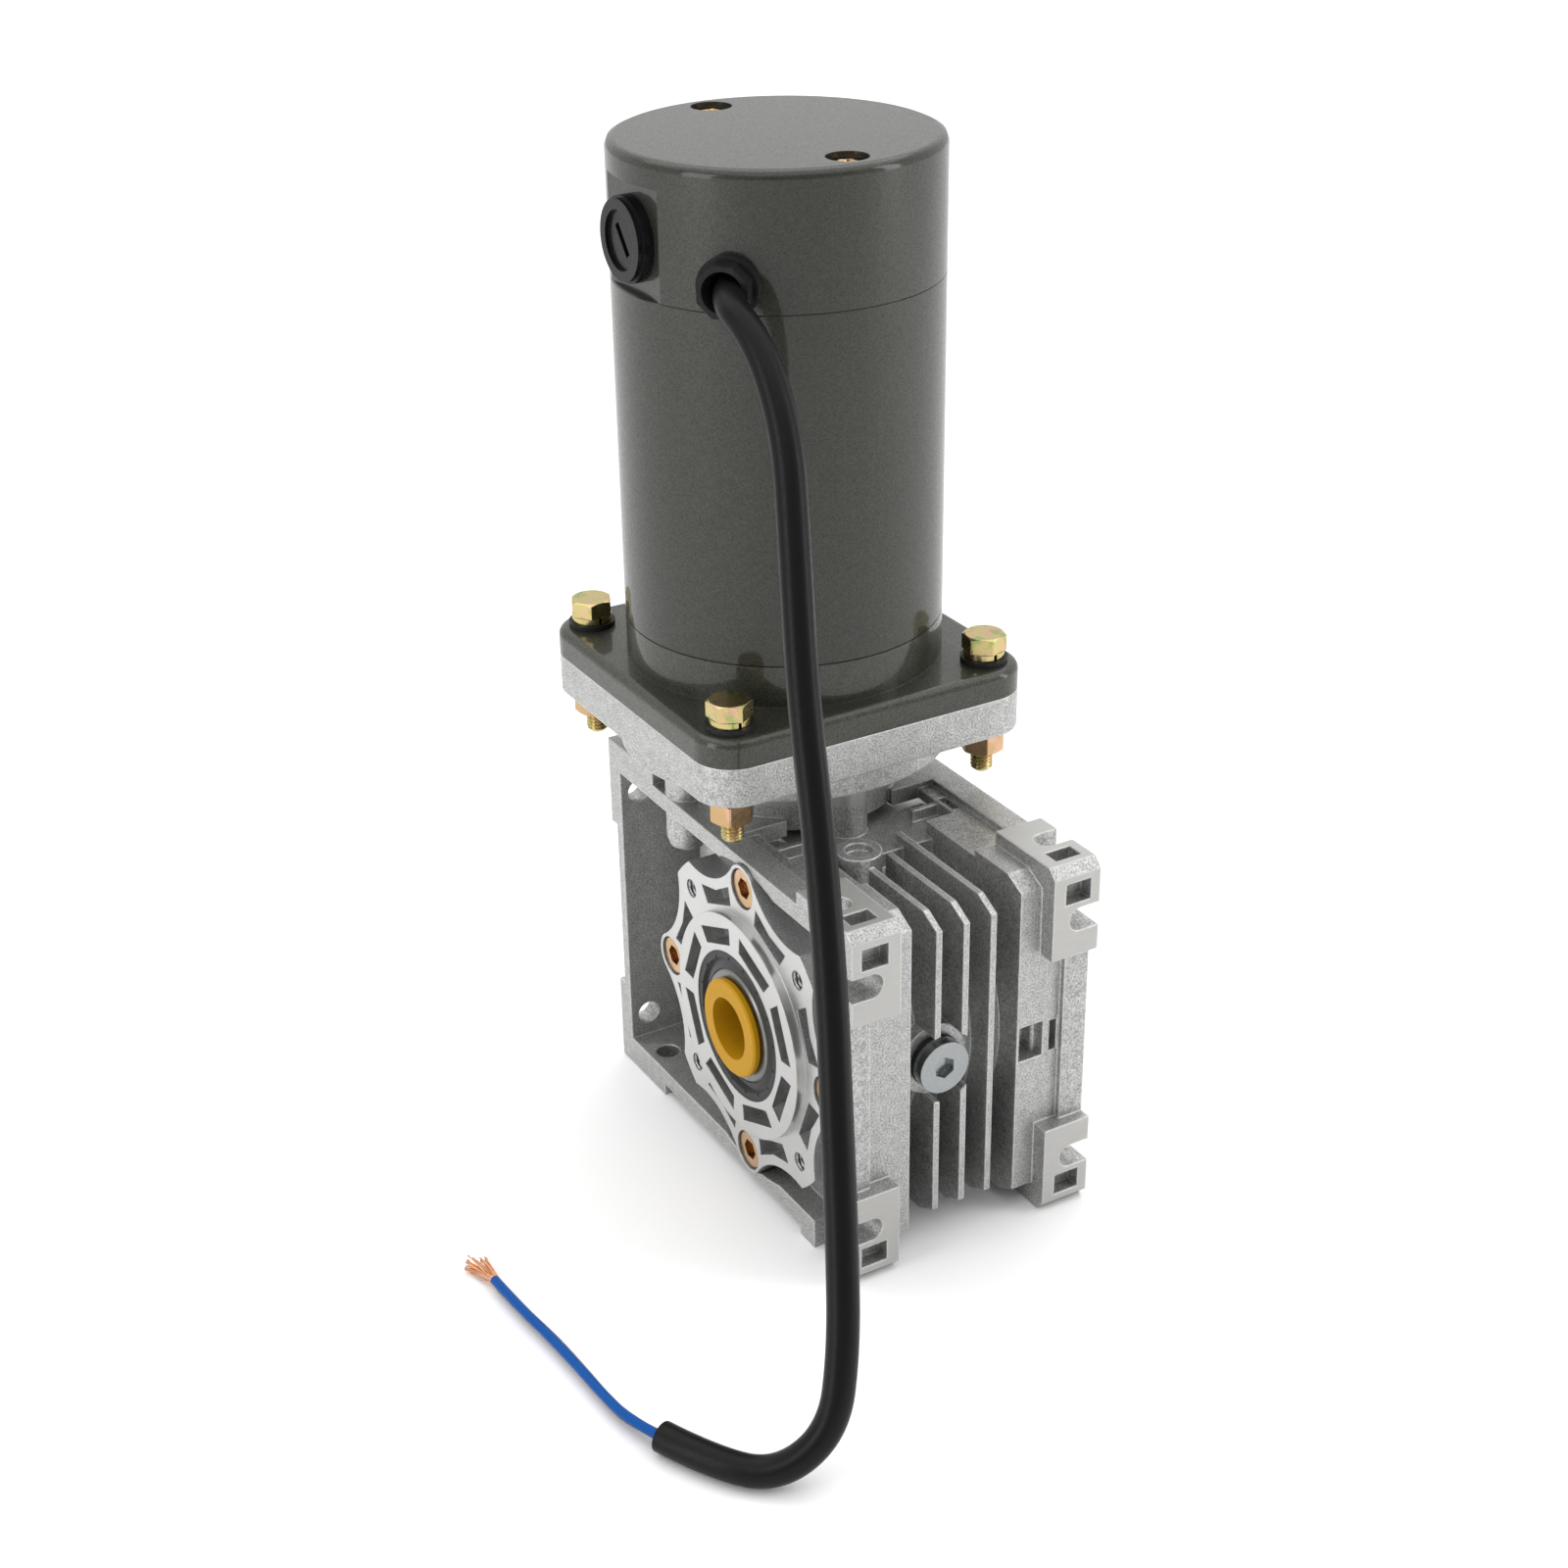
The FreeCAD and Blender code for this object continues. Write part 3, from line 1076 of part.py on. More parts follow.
def make_cable():
    """Gland, jacket, two cores and their bare strands."""
    angle = math.radians(GLAND_ANGLE)
    out = Vector(math.cos(angle), math.sin(angle), 0)
    radius = float(d.motor_radius)
    collar = Part.makeCylinder(7.4, 6, gland_place(radius - 3.8), out)
    side = Vector(-out.y, out.x, 0)
    corners = []
    for k in range(9):
        turn = math.radians(45 * k + 22.5)
        reach = 6.0 / math.cos(math.radians(22.5))
        corners.append(gland_place(radius - 3.8) + side * (reach * math.cos(turn))
                       + Vector(0, 0, reach * math.sin(turn)))
    hood = Part.Face(Part.makePolygon(corners)).extrude(out * 9.9)
    keep = Part.makeCylinder(radius + 0.05, 60,
                             Vector(float(d.worm_x), 0, float(d.cap_low) - 10))
    neck = Part.makeCylinder(5.1, 8, gland_place(radius - 5.2), out)
    bore = Part.makeCylinder(3.76, 40, gland_place(radius - 15), out)
    mouth = Part.makeCone(3.76, 4.9, 5.2, gland_place(radius + 1.1), out)
    gland = collar.fuse(hood).cut(keep).fuse(neck).cut(bore).cut(mouth)
    node(shaped("cable_gland", gland.removeSplitter()))
    tube_along("cable_jacket", CABLE_ROUTE, float(d.cable_diameter))
    tube_along("blue_core", BLUE_ROUTE, float(d.core_diameter))
    tube_along("brown_core", BROWN_ROUTE, float(d.core_diameter))
    for name, root, tips in (
            ("blue_strands", Vector(*BLUE_ROUTE[-1]),
             ((-6.5, -113.2, -47.6), (-5.4, -114.3, -48.9), (-7.2, -112.0, -48.9))),
            ("brown_strands", Vector(*BROWN_ROUTE[-1]),
             ((-4.6, -110.2, -47.4), (-5.6, -109.2, -48.9), (-4.0, -111.0, -48.9)))):
        strands = []
        for k, tip in enumerate(tips):
            way = Vector(*tip) - root
            start = root + Vector(0, 0.62 * (k - 1), 0)
            strands.append(Part.makeCylinder(0.42, way.Length, start, way))
        node(shaped(name, strands[0].multiFuse(strands[1:])))


make_housing()
make_cover("output_cover_near", FRONT)
make_cover("output_cover_far", BACK)
make_cover_screws()
make_output_side("near", FRONT)
make_output_side("far", BACK)
make_output_shaft()
make_wheel()
make_plug()
make_worm()
make_worm_bearings()
make_oil_plug()
make_adaptor()
make_motor_flange()
make_motor_shell()
make_cap_screws()
make_brush_gear()
make_rotor()
make_magnets()
make_flange_bolts()
make_cable()
doc.recompute()

for thing in doc.Objects:
    if "Invalid" in thing.State or "Error" in thing.State:
        raise SystemExit(f"{thing.Label} did not build: {thing.State}")
for part in nodes:
    if part.Shape.isNull() or not part.Shape.isValid():
        raise SystemExit(f"{part.Label} has no valid shape")
os.makedirs("parts", exist_ok=True)
facets = 0
for part in nodes:
    part.Shape.exportStep(f"parts/{part.Label}.step")
    facets += len(part.Shape.copy().tessellate(0.1)[1])
print(len(nodes), "nodes", facets, "triangles")
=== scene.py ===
import math

import bmesh
import bpy
import numpy as np
from mathutils import Euler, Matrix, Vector


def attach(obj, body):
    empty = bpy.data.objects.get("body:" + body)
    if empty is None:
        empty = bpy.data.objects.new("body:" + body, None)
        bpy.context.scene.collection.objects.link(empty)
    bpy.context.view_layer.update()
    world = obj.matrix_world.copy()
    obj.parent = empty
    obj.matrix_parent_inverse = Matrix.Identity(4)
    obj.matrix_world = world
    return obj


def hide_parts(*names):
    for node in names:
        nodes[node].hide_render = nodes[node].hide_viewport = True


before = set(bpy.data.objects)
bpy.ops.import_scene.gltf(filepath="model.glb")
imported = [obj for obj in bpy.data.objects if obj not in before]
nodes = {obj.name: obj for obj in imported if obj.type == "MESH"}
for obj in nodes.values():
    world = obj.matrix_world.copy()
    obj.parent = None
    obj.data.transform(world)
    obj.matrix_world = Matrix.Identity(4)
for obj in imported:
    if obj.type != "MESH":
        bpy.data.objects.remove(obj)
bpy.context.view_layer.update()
scene = bpy.context.scene

# Lengths below are in millimetres unless they carry MM, which makes them metres.
MM = 0.001
STANDING_Z = -50
MOTOR_X = -40


# Camera: fitted to the photograph, metres and degrees.
CAMERA_PLACE = (0.47091, -0.29609, 0.34302)
CAMERA_TURN = (62.900, 0.813, 59.556)
CAMERA_LENS = 57.51
CAMERA_SENSOR = 36
NEAREST_SEEN = 0.01

camera_data = bpy.data.cameras.new("camera")
camera_data.lens = CAMERA_LENS
camera_data.sensor_width = CAMERA_SENSOR
camera_data.clip_start = NEAREST_SEEN
camera = bpy.data.objects.new("camera", camera_data)
camera.location = CAMERA_PLACE
camera.rotation_euler = Euler([math.radians(a) for a in CAMERA_TURN])
scene.collection.objects.link(camera)
scene.camera = camera


# Cable and its two cores.
def link(name, data):
    """Puts new data in the scene as a piece that rides on the housing's body."""
    piece = bpy.data.objects.new(name, data)
    scene.collection.objects.link(piece)
    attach(piece, "root")
    return piece


def cord_curve(name, route, diameter):
    """A round cord along one smooth spline whose control points are the route.

    The bevel is one unit and each point's radius carries the cord's own.
    """
    curve = bpy.data.curves.new(name, "CURVE")
    curve.dimensions = "3D"
    spline = curve.splines.new("NURBS")
    spline.points.add(len(route) - 1)
    points = np.ones((len(route), 4))
    points[:, :3] = np.array(route) * MM
    spline.points.foreach_set("co", points.ravel())
    spline.points.foreach_set("radius", np.full(len(route), diameter / 2 * MM))
    spline.use_endpoint_u = True
    spline.order_u = 3
    spline.resolution_u = 24
    curve.bevel_depth = 1
    curve.bevel_resolution = 7
    curve.use_fill_caps = True
    return link(name, curve)


CABLE_ROUTE = [
    (-16.38, -24.46, 186.5), (-6.66, -34.53, 186.5), (8.3, -33.3, 179.4), (21.7, -34.2, 162.2),
    (32.5, -39.1, 140), (44, -44.3, 112), (57.2, -48.2, 82), (70.2, -53.3, 53),
    (82, -59.2, 25), (92.8, -64.6, 1), (101.3, -69.6, -19), (106.3, -75.4, -35.5),
    (102.2, -87.4, -46), (90.5, -97.2, -46.25), (77, -103, -46.25)]
BLUE_ROUTE = [
    (77.32, -103.9, -45.45), (68, -106.9, -46.2), (58, -107.8, -46.7), (45, -108.4, -46.75),
    (31, -109.4, -46.75), (18, -110.9, -46.75), (5, -111.6, -46.9)]
BROWN_ROUTE = [
    (76.58, -102.15, -47.25), (67, -105.6, -48.6), (57, -106.75, -48.8), (44, -107.2, -48.8),
    (30.5, -108.0, -48.8), (17.5, -109.8, -48.8), (6, -110.6, -48.8)]

CABLE_WIDTH = 7.5
CORE_WIDTH = 2.4

cable = cord_curve("cable", CABLE_ROUTE, CABLE_WIDTH)
blue_wire = cord_curve("blue_wire", BLUE_ROUTE, CORE_WIDTH)
brown_wire = cord_curve("brown_wire", BROWN_ROUTE, CORE_WIDTH)


def turned_grid(points, ring=False):
    """Vertices and faces of a surface whose rows run round an axis.

    Its two end rows are closed by flat faces, or joined to each other where it is a ring.
    """
    rows, columns = points.shape[:2]
    index = np.arange(rows * columns).reshape(rows, columns)
    index = np.concatenate([index, index[:, :1]], axis=1)
    if ring:
        index = np.concatenate([index, index[:1]], axis=0)
    quads = np.stack([index[:-1, :-1], index[:-1, 1:], index[1:, 1:], index[1:, :-1]], -1)
    faces = quads.reshape(-1, 4).tolist()
    if not ring:
        faces.append(index[0, -2::-1].tolist())
        faces.append(index[-1, :-1].tolist())
    return points.reshape(-1, 3), faces


def piece_of(name, parts, angle=28):
    """One object from several closed surfaces in millimetres, smooth below the given angle."""
    vertices, faces, offset = [], [], 0
    for points, rings in parts:
        vertices.append(points)
        faces += [[k + offset for k in face] for face in rings]
        offset += len(points)
    mesh = bpy.data.meshes.new(name)
    mesh.from_pydata((np.concatenate(vertices) * MM).tolist(), [], faces)
    mesh.shade_smooth()
    mesh.set_sharp_from_angle(angle=math.radians(angle))
    return link(name, mesh)


# Stripped ends: each strand stands a golden angle on from the last, and none goes through
# the standing surface.
GOLDEN_ANGLE = 2.399963
BUNDLE_RADIUS = 0.85
STRAND_RADIUS = 0.19
TIP_SCATTER = 0.55
BOW_SCATTER = 0.35
LOWEST_TIP = STANDING_Z + 0.6
LOWEST_STRAND = STANDING_Z + 0.3


def strand_bundle(name, root, tips, count, seed):
    """Fine copper wires that leave the core together and fan out to their tips.

    Wire k runs from a spot in the core's end to a tip: p(t) = root + (tip - root) t, plus the
    spot's own distance from the middle, which shrinks with t, and a bow of b sin(pi t). Round
    each point lies a ring of six across the wire's direction.
    """
    chance = np.random.default_rng(seed)
    root = np.array(root)
    wires = []
    along = np.linspace(0, 1, 9)[:, None]
    turn = np.linspace(0, 2 * np.pi, 6, endpoint=False)[None, :, None]
    for k in range(count):
        angle = GOLDEN_ANGLE * k
        spread = BUNDLE_RADIUS * math.sqrt((k + 0.5) / count)
        side = np.array([0, math.cos(angle), math.sin(angle)]) * spread
        tip = np.array(tips[k % len(tips)], float) + chance.normal(0, TIP_SCATTER, 3)
        tip[2] = max(tip[2], LOWEST_TIP)
        bow = chance.normal(0, BOW_SCATTER, 3) * np.array([0.4, 1, 0.6])
        line = root + side * (1 - 0.35 * along) + (tip - root) * along
        line = line + bow * np.sin(np.pi * along)
        line[:, 2] = np.maximum(line[:, 2], LOWEST_STRAND)
        tangent = np.gradient(line, axis=0)
        tangent /= np.linalg.norm(tangent, axis=1)[:, None]
        first = np.cross(tangent, [0, 0, 1])
        first /= np.linalg.norm(first, axis=1)[:, None]
        second = np.cross(tangent, first)
        ring = first[:, None] * np.cos(turn) - second[:, None] * np.sin(turn)
        wires.append(turned_grid(line[:, None] + ring * STRAND_RADIUS))
    return piece_of(name, wires, angle=180)


# Flange bolts: distance from the motor's axis along X and Y, the surfaces that they clamp,
# and the heights of head, nut, tip and thread.
BOLT_SPREAD = 36.77
CLAMP_TOP = 82.2
CLAMP_LOW = 64.8
HEAD_LOW = CLAMP_TOP + 3.2
HEAD_HIGH = CLAMP_TOP + 7.4
NUT_LOW = CLAMP_LOW - 7.4
NUT_HIGH = CLAMP_LOW - 1.45
BOLT_TIP = CLAMP_LOW - 13.2
THREAD_HIGH = CLAMP_LOW - 1
FLAT_TO_FLAT = 10.0
THREAD_RADIUS = 2.95
PITCH = 1.0
THREAD_DEPTH = 0.54
HEAD_INNER = 0.4
# Radius of a hexagon's flat end, as a part of the distance to its sides.
FLAT_END = 0.97


def hexagon_reach(angle, turn):
    """Distance from the axis to the side of a hexagon in this direction."""
    within = np.mod(angle - turn, math.pi / 3) - math.pi / 6
    return FLAT_TO_FLAT / 2 / np.cos(within)


def hexagon_piece(centre, low, high, turn, inner, chamfer_low, chamfer_high):
    """A hexagon whose end corners are cut by a 30 degree cone, which leaves arcs on the sides.

    At each direction the side reaches r(a); the cone lowers the end there by (r(a) - c) tan 30,
    where c is the radius of the flat end.
    """
    angle = np.linspace(0, 2 * math.pi, 97)[:-1]
    reach = hexagon_reach(angle, turn)
    flat = FLAT_TO_FLAT / 2 * FLAT_END
    drop = (reach - flat) * math.tan(math.radians(30))
    ones = np.ones_like(angle)
    profile = [(inner * ones, low * ones), (flat * ones, low * ones),
               (reach, low + drop * chamfer_low), (reach, high - drop * chamfer_high),
               (flat * ones, high * ones), (inner * ones, high * ones)]
    radius = np.array([row[0] for row in profile])
    height = np.array([row[1] for row in profile])
    grid = np.stack([centre[0] + radius * np.cos(angle), centre[1] + radius * np.sin(angle),
                     height], -1)
    return turned_grid(grid)


def threaded_stem(centre, low, high, thread_top):
    """A round stem whose lower length carries a 60 degree thread with a bevelled tip.

    r(a, z) = R - d P |2 frac(z / P - a / 2 pi) - 1| in the thread, R above it.
    """
    angle = np.linspace(0, 2 * math.pi, 49)[:-1]
    height = np.concatenate([np.arange(low, thread_top, PITCH / 8), [thread_top, high]])[:, None]
    wave = np.abs(2 * np.mod(height / PITCH - angle / (2 * math.pi), 1) - 1)
    fade = np.clip((thread_top - height) / PITCH, 0, 1)
    radius = THREAD_RADIUS - THREAD_DEPTH * PITCH * wave * fade
    bevel = 0.9
    radius = np.minimum(radius, THREAD_RADIUS - bevel + (height - low) * bevel)
    grid = np.stack([centre[0] + radius * np.cos(angle), centre[1] + radius * np.sin(angle),
                     height + 0 * radius], -1)
    return turned_grid(grid)


def flange_fasteners():
    """Four hex bolts with threaded ends, and their nuts, each turned as it happened to stop.

    For each corner the turns of head and nut are given in degrees.
    """
    bolts, nuts = [], []
    turns = {(1, -1): (4, 24), (-1, -1): (34, 8), (1, 1): (50, 40), (-1, 1): (5, 15)}
    for (side_x, side_y), (head_turn, nut_turn) in turns.items():
        centre = (MOTOR_X + side_x * BOLT_SPREAD, side_y * BOLT_SPREAD)
        bolts.append(hexagon_piece(centre, HEAD_LOW, HEAD_HIGH, math.radians(head_turn),
                                   HEAD_INNER, 0, 1))
        bolts.append(threaded_stem(centre, BOLT_TIP, HEAD_LOW + 0.1, THREAD_HIGH))
        nuts.append(hexagon_piece(centre, NUT_LOW, NUT_HIGH, math.radians(nut_turn),
                                  THREAD_RADIUS + 0.05, 1, 1))
    return piece_of("hex_bolts", bolts), piece_of("hex_nuts", nuts)


def across_cover(x, z, side, height, radius, angle):
    """Points round an axis along Y at (x, z), at a height above the middle on either side.

    Seen from outside, both sides look the same.
    """
    turn = angle * side
    radius = radius + 0 * angle
    return np.stack([x + radius * np.cos(turn), side * (height + 0 * radius),
                     z - radius * np.sin(turn)], -1)


# Tapped holes of the covers: their circle round the output axis, and their heights.
TAP_CIRCLE = 37.5
TAP_BOTTOM = 27.2
TAP_MOUTH = 36.1
TAP_RADIUS = 2.5
TAP_DEPTH = 0.32


def cover_threads():
    """The thread in the eight tapped holes of the covers: r(a, y) = R - d |2 frac(t) - 1|.

    Here t = y / P - a / 2 pi. A thin wall behind the thread lies in the metal and closes it.
    """
    parts = []
    angle = np.linspace(0, 2 * math.pi, 33)[:-1]
    height = np.arange(TAP_BOTTOM, TAP_MOUTH, PITCH / 6)[:, None]
    wave = np.abs(2 * np.mod(height / PITCH - angle / (2 * math.pi), 1) - 1)
    ridge = TAP_RADIUS - TAP_DEPTH * wave
    wall = np.full((2, len(angle)), TAP_RADIUS + 0.02)
    radius = np.concatenate([ridge, wall])
    height = np.concatenate([height, [[height[-1, 0]], [height[0, 0]]]])
    for side in (-1, 1):
        for k in range(4):
            corner = math.radians(45 + 90 * k)
            grid = across_cover(TAP_CIRCLE * math.cos(corner), TAP_CIRCLE * math.sin(corner),
                                side, height, radius, angle)
            parts.append(turned_grid(grid, ring=True))
    return piece_of("tapped_threads", parts, angle=50)


# Domes on the output seals: how many, the first one's place in degrees, their circle round
# the output axis, their size, and the height of the seal's face.
DOMES = 16
FIRST_DOME = 11
DOME_CIRCLE = 18.3
DOME_RADIUS = 0.42
DOME_HEIGHT = 0.22
SEAL_FACE = 38.8


def seal_marks():
    """Small moulded domes round the face of each seal: (r cos t, h sin t) turned round."""
    parts = []
    angle = np.linspace(0, 2 * math.pi, 13)[:-1]
    rise = np.array([-0.4, 0, 0.4, 0.8, 1.2, 1.5])[:, None]
    for side in (-1, 1):
        for k in range(DOMES):
            place = math.radians(FIRST_DOME + 360 / DOMES * k)
            grid = across_cover(DOME_CIRCLE * math.cos(place), DOME_CIRCLE * math.sin(place),
                                side, SEAL_FACE + DOME_HEIGHT * np.sin(rise),
                                DOME_RADIUS * np.cos(rise), angle)
            parts.append(turned_grid(grid))
    return piece_of("seal_marks", parts)


# Rear cap: top face, side wall and the radius of the edge between them.
CAP_TOP = 212.5
CAP_RADIUS = 40.4
CAP_EDGE = 2.2
# The recesses of the screws keep their own shading inside this radius.
RECESSES_END = 30


def rounded_cap(name, node):
    """The rear cap's own surface with its stepped top edge shaded as one round edge.

    In the facets of the edge the normal points away from the circle of radius R - e at the height
    top - e, on the side wall it is radial, and elsewhere it is the face's own.
    """
    work = bmesh.new()
    work.from_mesh(nodes[node].data)
    bmesh.ops.remove_doubles(work, verts=work.verts, dist=1e-7)
    mesh = bpy.data.meshes.new(name)
    work.to_mesh(mesh)
    work.free()
    mesh.shade_smooth()
    places = np.empty(len(mesh.vertices) * 3)
    mesh.vertices.foreach_get("co", places)
    corners = np.empty(len(mesh.loops), int)
    mesh.loops.foreach_get("vertex_index", corners)
    flat = np.empty(len(mesh.polygons) * 3)
    mesh.polygons.foreach_get("normal", flat)
    count = np.empty(len(mesh.polygons), int)
    mesh.polygons.foreach_get("loop_total", count)
    flat = np.repeat(flat.reshape(-1, 3), count, axis=0)
    place = places.reshape(-1, 3)[corners] / MM - (MOTOR_X, 0, 0)
    reach = np.hypot(place[:, 0], place[:, 1])
    outward = np.stack([place[:, 0] / reach, place[:, 1] / reach, 0 * reach], -1)
    rise = place[:, 2:] - (CAP_TOP - CAP_EDGE)
    round_edge = outward * (reach - (CAP_RADIUS - CAP_EDGE))[:, None] + rise * (0, 0, 1)
    round_edge /= np.maximum(np.linalg.norm(round_edge, axis=1), 1e-6)[:, None]
    slopes = (flat[:, 2] > 0.1) & (flat[:, 2] < 0.99)
    in_edge = slopes & (rise[:, 0] > -0.01) & (reach > RECESSES_END)
    upright = np.abs(flat[:, 2]) < 0.02
    faces_out = (flat * outward).sum(1) > 0.98
    on_wall = upright & faces_out & (reach > CAP_RADIUS - 0.02)
    normals = np.where(in_edge[:, None], round_edge, np.where(on_wall[:, None], outward, flat))
    mesh.normals_split_custom_set(normals.tolist())
    piece = link(name, mesh)
    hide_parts(node)
    return piece


def window_wall():
    """The cast wall at the inner end of the core window: a rectangle in Y and Z along X.

    Each row gives its x, and by how much its inner side leans back there.
    """
    y = np.array([21.6, 23.7, 23.7, 21.6])
    z = np.array([-5.1, -5.1, 5.1, 5.1])
    inner = np.array([1, 0, 0, 1])
    rows = []
    for x, draft in ((38.9, 0.0), (41.9, 0.35), (42.4, 0.9)):
        rows.append(np.stack([np.full(4, x), y + draft * inner, z], -1))
    return piece_of("window_wall", [turned_grid(np.array(rows))])


# Screws in the cap: their distance from the motor's axis, and the sizes of head and stem.
SCREW_SPREAD = 31.5
SCREW_SEAT = 208.8
HEAD_WALL = 1.5
CROWN = 1.3
CROWN_RADIUS = 4.3
CROSS_DEPTH = 1.3
CROSS_REACH = 2.2
STEM_RADIUS = 2.0
STEM_LENGTH = 28


def cap_screw_heads():
    """Two pan heads in the cap's recesses, each a dome with a cross-shaped dip in its middle.

    z(r) = h sqrt(1 - (r / R)^2), less a dip that is deepest where the distance from either arm
    of the cross is smallest. A round stem goes down from each head.
    """
    parts = []
    angle = np.linspace(0, 2 * math.pi, 49)[:-1]
    radius = np.array([4.0, 4.0, 3.9, 3.6, 3.0, 2.4, 2.0, 1.7, 1.4, 1.1, 0.8, 0.5, 0.2])[:, None]
    for side in (-1, 1):
        axis_x = MOTOR_X + SCREW_SPREAD * side
        cross = angle - 0.6 * side
        arm = np.minimum(np.abs(np.sin(cross)), np.abs(np.cos(cross)))
        dip = np.clip(1.6 - 3 * arm * radius, 0, 1) * (radius < CROSS_REACH)
        crown = CROWN * np.sqrt(np.clip(1 - (radius / CROWN_RADIUS) ** 2, 0, 1))
        height = SCREW_SEAT + HEAD_WALL + crown - CROSS_DEPTH * dip
        height[0] = SCREW_SEAT
        grid = np.stack([axis_x + radius * np.cos(angle), radius * np.sin(angle), height], -1)
        parts.append(turned_grid(grid))
        stem = np.array([[SCREW_SEAT - STEM_LENGTH], [SCREW_SEAT + 0.3]])
        grid = np.stack([axis_x + STEM_RADIUS * np.cos(angle) + 0 * stem,
                         STEM_RADIUS * np.sin(angle) + 0 * stem, stem + 0 * angle], -1)
        parts.append(turned_grid(grid))
    return piece_of("through_screws", parts, angle=35)


hex_bolts, hex_nuts = flange_fasteners()
through_screws = cap_screw_heads()
tapped_threads = cover_threads()
seal_dots = seal_marks()
core_wall = window_wall()
painted_cap = rounded_cap("painted_cap", "rear_cap")
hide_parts("flange_bolts")
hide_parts("flange_nuts")
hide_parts("cap_screws")

blue_strands = strand_bundle("blue_copper", BLUE_ROUTE[-1],
                             ((-6.8, -113.4, -47.6), (-5.0, -114.4, -48.9)), 16, seed=3)
brown_strands = strand_bundle("brown_copper", BROWN_ROUTE[-1],
                              ((-4.6, -110.2, -47.6), (-5.4, -109.6, -48.9)), 14, seed=5)
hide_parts("cable_jacket")
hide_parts("blue_core")
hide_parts("brown_core")
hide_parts("blue_strands")
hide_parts("brown_strands")


# Finishes.
class Value:
    """A number on a surface: one output socket, with the usual arithmetic."""

    def __init__(self, finish, socket):
        self.finish = finish
        self.socket = socket

    def maths(self, operation, *others):
        return self.finish.node("ShaderNodeMath", {"operation": operation}, self, *others)

    def __add__(self, other):
        return self.maths("ADD", other)

    def __radd__(self, other):
        return self.maths("ADD", other)

    def __sub__(self, other):
        return self.maths("SUBTRACT", other)

    def __rsub__(self, other):
        return self.finish.node("ShaderNodeMath", {"operation": "SUBTRACT"}, other, self)

    def __mul__(self, other):
        return self.maths("MULTIPLY", other)

    def __rmul__(self, other):
        return self.maths("MULTIPLY", other)

    def above(self, limit):
        return self.maths("GREATER_THAN", limit)

    def below(self, limit):
        return self.maths("LESS_THAN", limit)

    def size(self):
        return self.maths("ABSOLUTE")

    def most(self, other):
        return self.maths("MAXIMUM", other)

    def least(self, other):
        return self.maths("MINIMUM", other)


